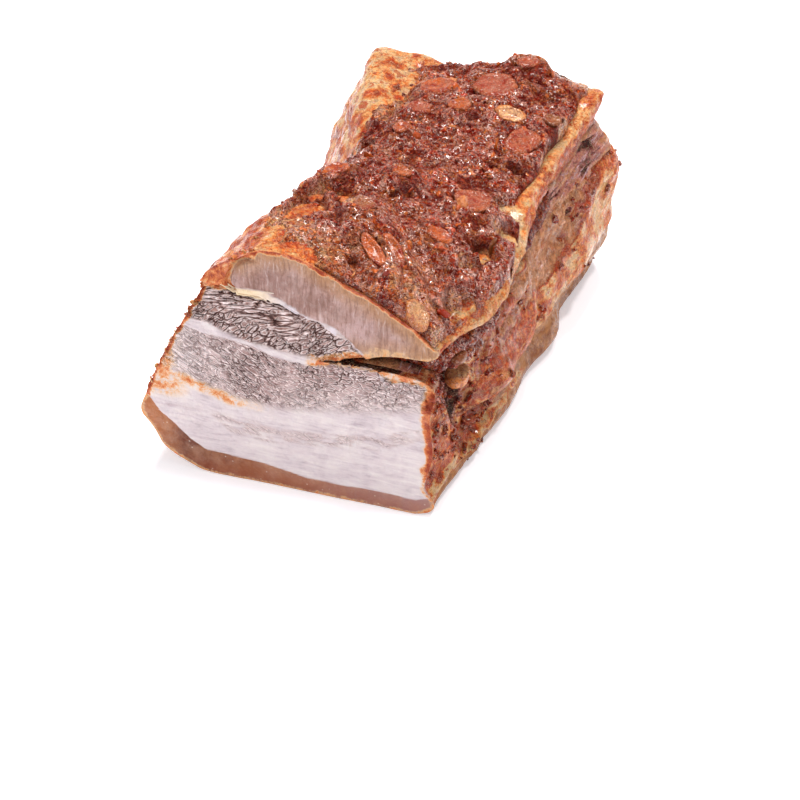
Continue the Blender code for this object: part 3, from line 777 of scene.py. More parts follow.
def shape_web(belly):
    """Strands of torn flesh that close the slit along the right side."""
    start, end = WEB_ENDS
    web, u, v = grid("torn_strands", round((end - start) / WEB_PITCH), WEB_ROWS)
    y = start + u * (end - start)
    stations = np.linspace(start, end, WEB_STATIONS)
    tree = surface_tree(belly)
    crest = heights_on(tree, flap_rim(stations) - 1.2, stations, 58.0)
    low = along(SHOULDER, stations)
    shoulder = first_met(tree, stack(BESIDE, stations, low), (-1, 0, 0), 0, 37.0)
    top = np.interp(y, stations, crest) - 2.2
    bottom = np.interp(y, stations, low)
    z = top + (bottom - top) * v + 0.5 * rough(stack(y, 0, 9 * v), (9, 9, 4), 2, 201)
    near = flap_rim(y) - 1.6
    far = np.interp(y, stations, shoulder) - 0.3
    flat = stack(y, 0, z)
    warped = flat + stack(0, 0, 1.6 * rough(flat, (14, 14, 6), 2, 202))
    strands = 1 - 2 * np.abs(rough(warped, (16, 16, 1.5), 3, 203))
    threads = rough(warped, (9, 9, 0.8), 2, 204)
    x = near + (far - near) * step(v, 0.25, 1) - WEB_SAG * np.sin(math.pi * v)
    x = x + 0.8 * strands + 0.3 * threads - 0.5
    x -= 5 * (1 - step(y + 2 * rough(flat, 4, 2, 205), -33, -22)) + 4 * step(y, 56.5, 61)
    x += 0.9 * rough(flat, (12, 12, 5), 2, 206)
    place(web, stack(x, y, z))
    zone = np.interp(v, (0, 0.12, 0.35, 0.6, 0.9, 1), (0.50, 0.55, 0.62, STRAND - 0.05, STRAND - 0.03, 0.70))
    # Painted shade: the gaps between strands are painted darker
    zone += 0.15 * step(0.45 - strands, 0, 0.5) - 0.08 * threads + 0.22 * rough(flat, (6, 6, 2.5), 4, 207)
    paint(web, zone=np.clip(zone, 0.3, 1), outer=1)
    modify(web, "SOLIDIFY", thickness=WEB_THICK * MM, offset=0)
    face_outwards(web)
    smooth_shaded(web, 70)
    return web


def shape_ribbons():
    """Wavy ribbons of cooked membrane between two muscles."""
    made = []
    for k, (line, high) in enumerate(RIBBONS):
        start, end = line[0][0], line[-1][0]
        piece, u, v = grid("membrane_ribbons", round((end - start) / RIBBON_STEP), 5)
        x = start + u * (end - start)
        flat = stack(x, 0, 9 * k)
        taper = step(u, 0, 0.12) * (1 - step(u, 0.85, 1))
        z = along(line, x) + 0.3 * rough(flat, 3.2, 2, 221) + high * taper * (v - 0.5)
        proud = 0.2 + RIBBON_PROUD * taper * (0.7 + 0.5 * rough(flat, 3.5, 2, 222))
        proud = proud * np.sin(math.pi * (0.15 + 0.75 * v))
        place(piece, stack(x, cut_y(x, z) - proud + 0.4, z))
        modify(piece, "SOLIDIFY", thickness=RIBBON_THICK * MM, offset=-1)
        made.append(piece)
    ribbons = joined(made, made[0])
    face_outwards(ribbons)
    paint(ribbons, membrane=1)
    smooth_shaded(ribbons, 60)
    return ribbons


def shape_strip():
    """A glazed brown strip of flesh in the slit."""
    rod = bpy.ops.mesh.primitive_cylinder_add
    strip = new_piece(rod, "slit_strip", vertices=20, radius=0.5, depth=1, end_fill_type="TRIFAN")
    bpy.ops.object.mode_set(mode="EDIT")
    for k in range(1, STRIP_CUTS):
        bpy.ops.mesh.select_all(action="SELECT")
        bpy.ops.mesh.bisect(plane_co=(0, 0, k / STRIP_CUTS - 0.5), plane_no=(0, 0, 1))
    bpy.ops.object.mode_set(mode="OBJECT")
    at = points(strip) * MM
    x = STRIP_ENDS[0] + (at[:, 2] + 0.5) * (STRIP_ENDS[1] - STRIP_ENDS[0])
    z = along(STRIP_FLOOR, x) - 0.2 + along(STRIP_HEIGHT, x) * (0.5 + at[:, 1])
    y = cut_y(x, z) + STRIP_INSET + STRIP_DEEP * (0.5 + at[:, 0])
    flat = stack(x, y, z)
    y = y + 0.5 * rough(flat, (5, 5, 1.2), 3, 211)
    z = z + 0.35 * rough(flat, (4, 4, 4), 3, 212) * (at[:, 1] > 0)
    place(strip, stack(x, y, z))
    zone = np.interp(x, (11, 15, 28), (0.50, 0.68, 0.9)) + 0.05 * rough(flat, (5, 5, 0.8), 3, 213)
    paint(strip, zone=zone, outer=1)
    face_outwards(strip)
    smooth_shaded(strip, 70)
    return strip


# ---------------------------------------------------------------- the paste

# Places where the paste is rubbed off or thin: (x, y, radius, how bare)
BARE_PLACES = (
    (-19, 46, 9.0, 1.0), (-17, 35, 6.5, 1.0), (-11, 41, 4.0, 0.8), (-20, 24, 6.5, 1.0), (-19, 57, 5.0, 0.7),
    (-14, 5, 3.2, 1.0), (-9.5, 5.5, 2.6, 1.0), (2.5, -32, 3.2, 1.0), (-2.6, -25, 2.6, 1.0),
    (-9.5, -26.5, 3.6, 0.9), (-8, -34, 4.2, 1.0), (-9, -38.5, 4.0, 0.9), (-13, -50, 7.0, 0.8),
    (-3, -54, 5.5, 0.95), (-17, -57, 5.0, 0.8), (33, -2.5, 4.2, 1.0), (35.5, -12, 3.6, 1.0),
    (34.5, -24, 3.4, 0.8), (33, -31, 3.8, 0.8), (30, -48, 2.4, 0.7), (33, -44, 2.6, 0.9),
    (36, -41, 3.4, 0.95), (-18.5, -4, 4.5, 1.0), (-19, -11, 5.0, 1.0), (-20, -18, 4.5, 1.0),
    (-20, -28, 4.0, 0.8), (-22, -40, 5.0, 0.7),
)
THIN_PLACES = (
    (12, -49, 11.0, 0.45), (22, -45, 10.0, 0.5), (-12, -47, 12.0, 0.75), (0, -50, 9.0, 0.6),
    (-15, 0, 6.0, 0.6), (30, -46, 8.0, 0.5), (-14, 30, 10.0, 0.6), (-10, -15, 6.0, 0.4),
)

# Pits in the paste: (x, y, half length, half width, how deep)
PITS = (
    (29.4, 11.8, 3.2, 1.6, 2.6), (32, -22.7, 1.6, 1.1, 1.8), (34, -34, 1.2, 1.0, 1.5),
    (16.2, -40, 1.3, 1.0, 1.6), (9.4, -48.8, 1.4, 1.0, 1.6), (24, 9, 2.2, 1.2, 1.4),
)

# Lines along the coat: how far it is drawn out to the right, its left edge and how wide the bare rim is
COAT_REACH = ((-60, 2.6), (-46, 3.0), (-34, 5.0), (-8, 4.4), (4, 2.6), (64, 2.6))
COAT_LEFT = (
    (-56, -12), (-50, -15.5), (-38, -20), (-20, -18), (4, -15), (16, -17.5), (30, -20), (52, -17), (64, -9.5),
)
CREST_BAND = ((-60, 0.2), (-4, 0.4), (4, 2.0), (12, 2.8), (64, 3.2))

# How many cuts make the coat's top finer, and how far it dips under bare meat
COAT_CUTS = 7
SINK = 1.3

# Lumps of paste squeezed out of the slit's front corner: (x, y, z, radius)
MOUTH_LUMPS = (
    (29.6, -49.2, 44.8, 2.4), (31.4, -47.0, 42.4, 2.4), (32.4, -46.8, 46.6, 2.8), (33.4, -44.6, 47.0, 2.6),
    (33.6, -43.6, 41.4, 2.2), (34.2, -42.0, 46.6, 2.8), (35.6, -38.6, 46.2, 2.9), (35.0, -39.2, 41.6, 2.6),
    (36.6, -34.6, 45.6, 2.7), (36.2, -34.8, 41.0, 2.2), (37.4, -30.4, 44.8, 2.4), (37.6, -26.0, 44.0, 2.0),
)


def disc_frame(piece):
    """A slice's middle, its three axes (thin, short and long) and its half sizes along them."""
    at = points(piece)
    middle = (at.min(axis=0) + at.max(axis=0)) / 2
    axes = np.linalg.eigh(np.cov((at - middle).T))[1].T
    axes[0] *= np.sign(axes[0][2])
    return middle, axes, np.abs((at - middle) @ axes.T).max(axis=0)


def disc_over(middle, axes, half, x, y):
    """Where each place lies on a slice, 1 being its outline, and the height of its middle plane there."""
    tilt = axes[0]
    z = middle[2] - ((x - middle[0]) * tilt[0] + (y - middle[1]) * tilt[1]) / tilt[2]
    away = stack(x, y, z) - middle
    return np.hypot(away @ axes[1] / half[1], away @ axes[2] / half[2]), z


def bareness(x, y, wobble):
    """How far the paste is missing at each place, and how thin it is."""
    bare = spots(x, y, BARE_PLACES, wobble)
    to_edge = flap_rim(y) - x
    bare = np.maximum(bare, step(along(CREST_BAND, y) - to_edge + 2.4 * wobble, -0.6, 0.6))
    bare = np.maximum(bare, 0.9 - 0.9 * step(x - along(COAT_LEFT, y) + 5 * wobble, 0.0, 5.5))
    thin = np.maximum(spots(x, y, THIN_PLACES, wobble), 0.6 * bare)
    return bare, np.maximum(thin, 0.9 * step(y + 0.25 * x, 56, 66))


def shape_coat(belly, discs):
    """The paste: a wet, grainy layer that thins out and dips under the meat where it is rubbed off."""
    coat = merged_copy("paste_coat", "paste_crust")
    flat_enough = math.radians(60)
    to_quads = bpy.ops.mesh.tris_convert_to_quads
    edit_all(coat, to_quads, face_threshold=flat_enough, shape_threshold=flat_enough)
    edit_faces(coat, faces_of(coat)[1][:, 2] > 0.25, bpy.ops.mesh.subdivide, number_cuts=COAT_CUTS)
    at = points(coat)
    at[:, 0] += along(COAT_REACH, at[:, 1]) * step(at[:, 0], 15, 32)
    x, y, z = at.T
    upper = directions(coat)[:, 2] > 0.12
    meat = heights_on(surface_tree(belly), x, y, -50.0)
    meat = np.where(meat < z - 6, z - 1.2, meat)
    flat = stack(x, y, 0)
    bare, thin = bareness(x, y, 0.45 * rough(flat, 3.2, 3, 81))
    folded = flat + 0.9 * stack(rough(flat, 3, 2, 86), rough(flat, 3, 2, 87), 0)
    near, _, own = grains(folded, (1.9, 1.5, 1.7), 82)
    lumps = dome(near, 0.75) * own**1.2
    worms = 1 - 2.4 * np.abs(rough(folded, 2.7, 2, 88))
    threads = 1 - 2.4 * np.abs(rough(folded, 1.4, 2, 83))
    clots = rough(flat, 4.8, 3, 84)
    rise = (0.45 * lumps + 0.42 * worms + 0.26 * threads + 1.15 * clots - 0.55) * (1 - 0.6 * thin)
    for *where, deep in PITS:
        rise -= deep * (1 - step(oval(x, y, *where), 0.35, 1.15))
    body = (z - meat) * (1 - 0.75 * thin) + rise
    lifted = meat + (body * (1 - bare) - SINK * bare)
    uneven = rough(flat, 2.3, 3, 99)
    for middle, axes, half in discs:
        inside, plane = disc_over(middle, axes, half, x, y)
        past = (inside - 1) * half[1]
        rise_to = plane + half[0] - 0.05 + 0.9 * rise
        inside = inside + 0.34 * uneven
        ring = step(inside, 0.70, 0.92) * (1 - step(past, 0.8, 4.5))
        lifted = np.where(ring > 0, lifted + ring * np.maximum(rise_to - lifted, 0), lifted)
        lifted = np.where(inside < 0.78, np.minimum(lifted, plane - half[0] - 0.1), lifted)
    sunk = np.minimum(z, np.where(meat > 0, meat - SINK - 0.5, z))
    at[:, 2] = np.where(upper, lifted, sunk)
    place(coat, at)
    # deep is painted shade for the paste's low places; crest marks where painted highlights go on its crests
    paint(
        coat,
        thin=np.clip(thin + 0.5 * bare + 0.22 * rough(flat, 6, 3, 85), 0, 1),
        grain=own,
        deep=np.clip(0.42 - 0.6 * rise, 0, 1),
        crest=np.maximum(step(worms, 0.82, 1.0), 0.8 * step(threads, 0.85, 1.0)),
    )
    smooth_shaded(coat, 75)
    return coat


def shape_filling():
    """The paste inside the slit."""
    filling = merged_copy("paste_filling", "slit_paste")
    remesh(filling, FILLING_VOXEL, 3)
    at = points(filling)
    near, _, own = grains(at, 1.5, 91)
    lift = 0.5 * step(0.8 - near, 0, 0.8) + 0.3 * rough(at, 3, 2, 92) - 0.15
    place(filling, at + directions(filling) * lift[:, None])
    # deep is painted shade for the paste's low places
    paint(filling, thin=0.25 + 0.3 * rough(at, 5, 2, 93), grain=own, deep=np.clip(0.75 - 0.3 * lift, 0, 1))
    smooth_shaded(filling, 75)
    return filling


def shape_mouth():
    """Paste squeezed out where the slit meets the cut."""
    sphere = bpy.ops.mesh.primitive_ico_sphere_add
    lumps = []
    for *spot, radius in MOUTH_LUMPS:
        spot = [side * MM for side in spot]
        lumps.append(new_piece(sphere, "lump", subdivisions=3, radius=radius * MM, location=spot))
    mouth = joined(lumps, lumps[-1])
    mouth.name = "squeezed_paste"
    bpy.ops.object.transform_apply(location=True, rotation=True, scale=True)
    remesh(mouth, MOUTH_VOXEL, 2)
    at = points(mouth)
    near, _, own = grains(at + 0.6 * rough(at, 2, 2, 94)[:, None], 1.7, 95)
    lift = 0.55 * dome(near, 0.75) * own + 0.45 * rough(at, 2.6, 3, 96) - 0.1
    place(mouth, at + directions(mouth) * lift[:, None])
    # deep is painted shade for the paste's low places
    paint(mouth, thin=0.15 + 0.3 * rough(at, 4, 3, 97), grain=own, deep=np.clip(0.55 - 0.7 * lift, 0, 1))
    smooth_shaded(mouth, 75)
    return mouth


# ---------------------------------------------------------------- garlic

# How each slice and chunk has cooked: 0 red-tan and glazed, 0.35 ochre, 0.65 olive, 1 cream
SLICE_COOKED = (
    0.05, 0.95, 0.15, 0.3, 0.1, 0.38, 0.62, 0.4, 0.12, 0.42, 0.3, 0.1, 0.36, 0.4, 0.3, 0.85, 0.6,
)
CHUNK_COOKED = (0.6, 1.0)
CHUNK_SEED = 21


def shape_garlic(solid, cooked, seed):
    """A slice with a raised rim and a wrinkled, slightly sunken face."""
    garlic = merged_copy(solid, f"cooked_{solid}")
    modify(garlic, "SUBSURF", levels=3, render_levels=3)
    at = points(garlic)
    out = directions(garlic)
    spread = at - at.mean(axis=0)
    axes = np.linalg.eigh(np.cov(spread.T))[1]
    local = spread @ axes
    reach = np.abs(local).max(axis=0)
    radius = np.hypot(local[:, 2] / reach[2], local[:, 1] / reach[1])
    uneven = rough(at * (1, 1, 0.4), 4.5, 2, 100 + seed)
    rim = band(radius + 0.1 * uneven, 0.66, 0.95, 0.2)
    wrinkle = 1 - 2 * np.abs(rough(at, (1.8, 1.2, 2), 3, 115 + seed))
    lift = step(out[:, 2], 0.1, 0.6) * (0.18 * rim - 0.3 * (1 - step(radius, 0.2, 0.75)) + 0.22 * wrinkle)
    lift = lift + 0.3 * rough(at, 3, 3, 130 + seed)
    outwards = spread - axes[:, 0] * local[:, :1]
    place(garlic, at + out * lift[:, None] + outwards * (0.24 * uneven * step(radius, 0.3, 0.9))[:, None])
    smear = rough(at, 2.4, 4, 160 + seed) + 0.3 * radius - 0.05
    smear = smear - 0.25 * (cooked > 0.8) - 0.4 * (seed >= CHUNK_SEED)
    paint(garlic, rim=step(radius + 0.1 * wrinkle, 0.72, 0.95), cooked=cooked, smear=step(smear, 0.0, 0.35))
    smooth_shaded(garlic, 80)
    return garlic


# ---------------------------------------------------------------- loose grains

GRAIN_COUNT = 500
CRUMB_COUNT = 260
BIT_COUNT = 170
FLAKE_COUNT = 60


def ball(rounds):
    """A small round lump's corners and faces."""
    lump = new_piece(bpy.ops.mesh.primitive_ico_sphere_add, "lump", subdivisions=rounds, radius=1)
    at = np.array([v.co[:] for v in lump.data.vertices])
    faces = np.array([p.vertices[:] for p in lump.data.polygons])
    bpy.data.objects.remove(lump)
    return at, faces


def draw(rng, chance, count, low, high, extra, power):
    """Places picked by their chances, and a size for each from low to high, with a few larger ones."""
    picked = rng.choice(len(chance), count, p=chance / chance.sum())
    return picked, rng.uniform(low, high, count) + extra * rng.random(count) ** power


def strew(name, places, sizes, flatness, rounds, rng):
    """One joined piece of many uneven lumps, one at each place."""
    shape, faces = ball(rounds)
    count = len(places)
    turns = rng.normal(size=(count, 4))
    turns /= np.linalg.norm(turns, axis=1)[:, None]
    w, i, j, k = turns.T
    turn = np.stack([
        1 - 2 * (j * j + k * k), 2 * (i * j - k * w), 2 * (i * k + j * w),
        2 * (i * j + k * w), 1 - 2 * (i * i + k * k), 2 * (j * k - i * w),
        2 * (i * k - j * w), 2 * (j * k + i * w), 1 - 2 * (i * i + j * j),
    ], axis=-1).reshape(-1, 3, 3)
    stretch = rng.uniform((0.75, 0.75, flatness * 0.7), (1.3, 1.3, flatness * 1.3), size=(count, 3))
    lumps = shape[None] * stretch[:, None]
    lumps *= (1 + 0.28 * rng.normal(size=(count, len(shape), 1)).clip(-1, 1))
    lumps = np.einsum("nij,nvj->nvi", turn, lumps) * sizes[:, None, None] + places[:, None]
    corners = (faces[None] + np.arange(count)[:, None, None] * len(shape)).reshape(-1, 3)
    mesh = bpy.data.meshes.new(name)
    mesh.from_pydata((lumps.reshape(-1, 3) * MM).tolist(), [], corners.tolist())
    piece = bpy.data.objects.new(name, mesh)
    bpy.context.scene.collection.objects.link(piece)
    grain = np.repeat(rng.uniform(size=count), len(shape))
    thin = np.repeat(0.25 * rng.uniform(size=count) ** 2, len(shape))
    # deep gives every grain a little painted shade
    paint(piece, grain=grain, thin=thin, deep=0.1)
    smooth_shaded(piece, 80)
    return piece


def strew_grains(coat, rng):
    """Loose grains of the paste, half sunk in it."""
    centre, facing, area = faces_of(coat)
    corners = np.array([p.vertices[0] for p in coat.data.polygons])
    chance = area * (facing[:, 2] > 0.2) * np.clip(1.15 - 1.6 * kept(coat, "thin")[corners], 0.02, 1)
    picked, sizes = draw(rng, chance, GRAIN_COUNT, 0.22, 0.42, 0.35, 5)
    places = centre[picked] + facing[picked] * sizes[:, None] * 0.25
    return strew("paste_grains", places, sizes, 0.8, 1, rng)


def strew_crumbs(belly, rng):
    """Crumbs of paste on the right side, thickest at its front and in its seams."""
    centre, facing, area = faces_of(belly)
    x, y, z = centre.T
    wobble = 0.5 * rough(centre, 3, 3, 231)
    front = 0.8 * (1 - step(y + 8 * wobble, -34, -16)) * step(z, 7, 12)
    share = patches(y, z, SIDE_PASTE, wobble) + front + 0.03
    chance = area * share * (facing[:, 0] > 0.35) * (x > 22) * (y > cut_y(x, z) + 2) * (z < 50)
    picked, sizes = draw(rng, chance, CRUMB_COUNT, 0.3, 0.75, 0.8, 5)
    return strew("side_crumbs", centre[picked] + 0.1 * facing[picked], sizes, 0.6, 2, rng)


def strew_bits(coat, rng):
    """Crumbs of garlic and spice that lie in the paste and on the bare meat beside it."""
    centre, facing, area = faces_of(coat)
    picked, sizes = draw(rng, area * (facing[:, 2] > 0.35), BIT_COUNT, 0.4, 0.8, 1.1, 5)
    return strew("spice_bits", centre[picked] - 0.12 * facing[picked], sizes, 0.4, 2, rng)


def strew_flakes(belly, rng):
    """Ragged flakes of crust along the cut's left rim, fewer further back."""
    at = points(belly)
    x, y, z = at.T
    out = directions(belly)
    depth = y - cut_y(x, z)
    left = (out[:, 0] < -0.2) & (z > 24) & (depth < 14)
    chance = (kept(belly, "outer") > 0.5) * left * np.exp(-depth / 4)
    picked, sizes = draw(rng, chance, FLAKE_COUNT, 0.3, 0.6, 0.7, 4)
    flakes = strew("crust_flakes", at[picked] - 0.15 * out[picked], sizes, 0.35, 2, rng)
    each = len(flakes.data.vertices) // FLAKE_COUNT
    paint(flakes, zone=np.repeat(rng.uniform(0.30, 0.52, FLAKE_COUNT), each), outer=1)
    return flakes


# ---------------------------------------------------------------- shader helpers


class Wire:
    """A shader node's output. Sums with it add the nodes that they take, and colours are from 0 to 255."""

    def __init__(self, socket):
        self.socket = socket
        self.tree = socket.id_data

    def maths(self, operation, other=0.0, clamp=False):
        values = {0: self, 1: other}
        made = add_node(self.tree, "ShaderNodeMath", values, operation=operation, use_clamp=clamp)
        return Wire(made.outputs[0])

    def __add__(self, other):
        return self.maths("ADD", other)

    def __sub__(self, other):
        return self.maths("SUBTRACT", other)

    def __mul__(self, other):
        return self.maths("MULTIPLY", other)

    def __truediv__(self, other):
        return self.maths("DIVIDE", other)

    def __abs__(self):
        return self.maths("ABSOLUTE")

    def remap(self, low, high, to_low=0.0, to_high=1.0, shape="SMOOTHSTEP"):
        """This number moved from one span to another, no further than its ends."""
        spans = {"Value": self, "From Min": low, "From Max": high, "To Min": to_low, "To Max": to_high}
        made = add_node(self.tree, "ShaderNodeMapRange", spans, interpolation_type=shape)
        return Wire(made.outputs["Result"])

    def under(self, other, share):
        """This colour with another over it, which covers it as the share goes from 0 to 1."""
        over = other if isinstance(other, Wire) else colour(*other)
        made = add_node(self.tree, "ShaderNodeMix", {0: share, 6: self, 7: over}, data_type="RGBA")
        return Wire(made.outputs[2])

    def ramp(self, *stops):
        """A colour for this number, from stops of a place and a colour."""
        made = add_node(self.tree, "ShaderNodeValToRGB", {"Fac": self})
        stones = made.color_ramp.elements
        for k, (spot, shade) in enumerate(stops):
            stone = stones[k] if k < 2 else stones.new(spot)
            stone.position = spot
            stone.color = colour(*shade)
        return Wire(made.outputs["Color"])


def feed(socket, value):
    """Joins a wire to an input, or sets its value."""
    if isinstance(value, Wire):
        value.tree.links.new(value.socket, socket)
    else:
        socket.default_value = value


def add_node(tree, kind, values, **settings):
    """A node with its settings, and its inputs set to values or joined to wires."""
    made = tree.nodes.new(kind)
    for name, value in settings.items():
        setattr(made, name, value)
    for name, value in values.items():
        feed(made.inputs[name], value)
    return made


def colour(red, green, blue):
    """A display colour from 0 to 255, as the light it stands for."""
    shares = (c / 255 for c in (red, green, blue))
    return tuple(((s + 0.055) / 1.055) ** 2.4 if s > 0.04 else s / 12.92 for s in shares) + (1,)


def painted(at, *names):
    """The numbers kept for each vertex under these names, for the material that the wire is in."""
    nodes = [add_node(at.tree, "ShaderNodeAttribute", {}, attribute_name=name) for name in names]
    return [Wire(made.outputs["Fac"]) for made in nodes]


def larger(a, b):
    return a.maths("MAXIMUM", b)


def between(a, b, share):
    """A number that runs from a to b as the share goes from 0 to 1."""
    return Wire(add_node(share.tree, "ShaderNodeMix", {0: share, 2: a, 3: b}, data_type="FLOAT").outputs[0])


def noise(at, scale, detail, roughness=0.55, distortion=0.0):
    values = {"Vector": at, "Scale": scale, "Detail": detail, "Roughness": roughness}
    values["Distortion"] = distortion
    return Wire(add_node(at.tree, "ShaderNodeTexNoise", values).outputs["Fac"])


def cells(at, scale, feature="F1"):
    made = add_node(at.tree, "ShaderNodeTexVoronoi", {"Vector": at, "Scale": scale}, feature=feature)
    return Wire(made.outputs["Distance"])


def turned(at, angle, length):
    """Places seen along a direction turned in the cut's plane, drawn out along it by length."""
    values = {"Vector": at, "Rotation": (0, math.radians(angle), 0), "Scale": (length, 1, 1)}
    return Wire(add_node(at.tree, "ShaderNodeMapping", values, vector_type="TEXTURE").outputs["Vector"])


def stretched(at, scale):
    return Wire(add_node(at.tree, "ShaderNodeMapping", {"Vector": at, "Scale": scale}).outputs["Vector"])


def at_axis(at, number):
    return Wire(add_node(at.tree, "ShaderNodeSeparateXYZ", {0: at}).outputs[number])


def vector_maths(operation, *parts):
    made = add_node(parts[0].tree, "ShaderNodeVectorMath", dict(enumerate(parts)), operation=operation)
    return Wire(made.outputs[0])


# ---------------------------------------------------------------- effects that the materials share

# Kinds of inputs and outputs by how many numbers they hold, and usual values where a wire always comes in
SOCKETS = {1: "NodeSocketFloat", 3: "NodeSocketVector", 4: "NodeSocketColor"}
ORIGIN = (0, 0, 0)
WHITE = (1, 1, 1, 1)

# How far in metres a net of cracks is bent out of its even pattern
CRACK_WARP = (0.0015, 0.0015, 0.0015)


def group(name, gives, **takes):
    """A node group: its tree, and a wire from each of its inputs, whose usual values are given."""
    tree = bpy.data.node_groups.new(name, "ShaderNodeTree")
    for title, usual in takes.items():
        kind = SOCKETS[np.size(usual)]
        socket = tree.interface.new_socket(name=title, in_out="INPUT", socket_type=kind)
        socket.default_value = usual
    for title in gives:
        kind = SOCKETS[4 if title == "Colour" else 1]
        tree.interface.new_socket(name=title, in_out="OUTPUT", socket_type=kind)
    start = tree.nodes.new("NodeGroupInput")
    return tree, [Wire(start.outputs[title]) for title in takes]


def close_group(tree, **wires):
    """Joins wires to a group's outputs, by their names."""
    end = tree.nodes.new("NodeGroupOutput")
    for title, wire in wires.items():
        feed(end.inputs[title], wire)
    return tree


def use(kit, at, **values):
    """Places a group in a material with its own values, and gives its outputs by name."""
    placed = add_node(at.tree, "ShaderNodeGroup", {}, node_tree=kit)
    for title, value in dict(values, Place=at).items():
        feed(placed.inputs[title], value)
    return {socket.name: Wire(socket) for socket in placed.outputs}


def oil_stain():
    """Paprika oil soaked into the meat: deeper in colour with its amount, with a mottled edge and veins."""
    takes = dict(Colour=WHITE, Amount=0.5, Scale=400.0, Place=ORIGIN)
    tree, (meat, amount, scale, at) = group("Oil stain", ["Colour"], **takes)
    mottle = noise(at, scale, 8, 0.68, 0.8) - 0.5
    veins = abs(noise(at, scale * 2.2, 5, 0.65, 2.2) - 0.5).remap(0.07, 0.0)
    spread = (mottle * 2.3 + veins * 0.22) * amount.remap(0.0, 0.35)
    level = amount.maths("ADD", spread, clamp=True)
    oil = level.ramp(
        (0.0, (216, 192, 164)), (0.25, (216, 174, 128)), (0.45, (204, 130, 78)), (0.68, (184, 94, 54)),
        (1.0, (134, 48, 26)),
    )
    return close_group(tree, Colour=meat.under(oil, level.remap(0.02, 0.42)))


def meat_fibre():
    """Fine parallel fibres with darker lines between them."""
    takes = dict(Place=ORIGIN, Stretch=(1, 1, 0.2), Scale=900.0)
    tree, (at, stretch, scale) = group("Meat fibre", ["Mask", "Height"], **takes)
    lines = noise(vector_maths("MULTIPLY", at, stretch), scale, 4, 0.6, 0.4)
    return close_group(tree, Mask=lines.remap(0.38, 0.62), Height=lines)


def crack_net():
    """A net of fine cracks, as on cooked lean: masks for painted shade in the cracks and a painted highlight
    along each, and rounded cells between.
    """
    takes = dict(Place=ORIGIN, Scale=900.0, Width=0.08)
    tree, (at, scale, width) = group("Crack net", ["Gap", "Ridge", "Height"], **takes)
    drift = add_node(tree, "ShaderNodeTexNoise", {"Vector": at, "Scale": scale * 0.45, "Detail": 3.0})
    warped = vector_maths("MULTIPLY_ADD", Wire(drift.outputs["Color"]), CRACK_WARP, at)
    edge = cells(warped, scale, "DISTANCE_TO_EDGE") / width
    ridge = edge.remap(1.0, 1.7) * edge.remap(3.6, 2.2)
    return close_group(tree, Gap=edge.remap(1.0, 0.25), Ridge=ridge, Height=edge.remap(0.0, 3.0))


def oil_glints():
    """Short curly lines where oil stands and a crease beside each, more and fewer in patches, as masks for
    painted highlights and painted shade.
    """
    takes = dict(Place=ORIGIN, Scale=900.0, Width=0.035)
    tree, (at, scale, width) = group("Oil glints", ["Line", "Crease", "Patch"], **takes)
    curls = noise(at, scale, 2, 0.5, 1.6)
    line = (abs(curls - 0.5) / width).remap(1.0, 0.4) * noise(at, scale * 1.1, 1, 0.5).remap(0.44, 0.52)
    crease = (abs(curls - 0.575) / width).remap(1.3, 0.4)
    patch = noise(at, scale * 0.2, 3, 0.6, 0.5).remap(0.42, 0.58)
    return close_group(tree, Line=line, Crease=crease, Patch=patch)


def wet_gloss():
    """Oil lying unevenly: a roughness between the two values and a fine height that breaks up the shine."""
    takes = dict(Place=ORIGIN, Scale=1200.0, Wet=0.2, Dry=0.5)
    tree, (at, scale, wet, dry) = group("Wet gloss", ["Roughness", "Height"], **takes)
    pools = noise(at, scale * 0.3, 3).remap(0.35, 0.65, wet, dry, "LINEAR")
    drops = cells(at, scale * 0.8) * 0.55
    return close_group(tree, Roughness=pools, Height=noise(at, scale, 4, 0.6) * 0.9 - drops)


# ---------------------------------------------------------------- materials

# Nets of cracks in the lean: how far each is turned and drawn out, its scale and its cracks' width
CRACK_NETS = {
    "slanted": (30, 5.5, 1050.0, 0.07),
    "even": (10, 3.0, 900.0, 0.06),
    "fine": (14, 1.6, 1700.0, 0.10),
    "long": (-13, 8.0, 860.0, 0.09),
    "curly": (-38, 3.2, 820.0, 0.08),
}

# The outside's one scale of colours, which the named finishes are places on; its two darkest stops are
# painted shade
OUTSIDE_SCALE = (
    (0.0, (118, 64, 32)), (0.09, (166, 112, 66)), (0.15, (158, 58, 28)), (0.22, (203, 171, 131)),
    (0.32, (212, 158, 102)), (0.41, (204, 114, 52)), (0.50, (176, 66, 24)), (0.59, (132, 34, 14)),
    (0.67, (164, 90, 46)), (0.76, (198, 132, 88)), (0.85, (176, 104, 94)), (0.93, (80, 22, 16)),
    (1.0, (30, 5, 3)),
)


def material(name, **constants):
    """A new material: itself, its shader and the object's own coordinates."""
    made = bpy.data.materials.new(name)
    made.use_nodes = True
    shader = made.node_tree.nodes["Principled BSDF"]
    for title, value in constants.items():
        shader.inputs[title.replace("_", " ")].default_value = value
    return made, shader, Wire(add_node(made.node_tree, "ShaderNodeTexCoord", {}).outputs["Object"])


def dress(shader, hue, roughness, height, strength, distance):
    """Joins a finish to the shader, its height as a bump of this strength and this many metres."""
    values = {"Height": height, "Strength": strength, "Distance": distance}
    relief = add_node(shader.id_data, "ShaderNodeBump", values)
    feed(shader.inputs["Base Color"], hue)
    feed(shader.inputs["Roughness"], roughness)
    feed(shader.inputs["Normal"], Wire(relief.outputs["Normal"]))


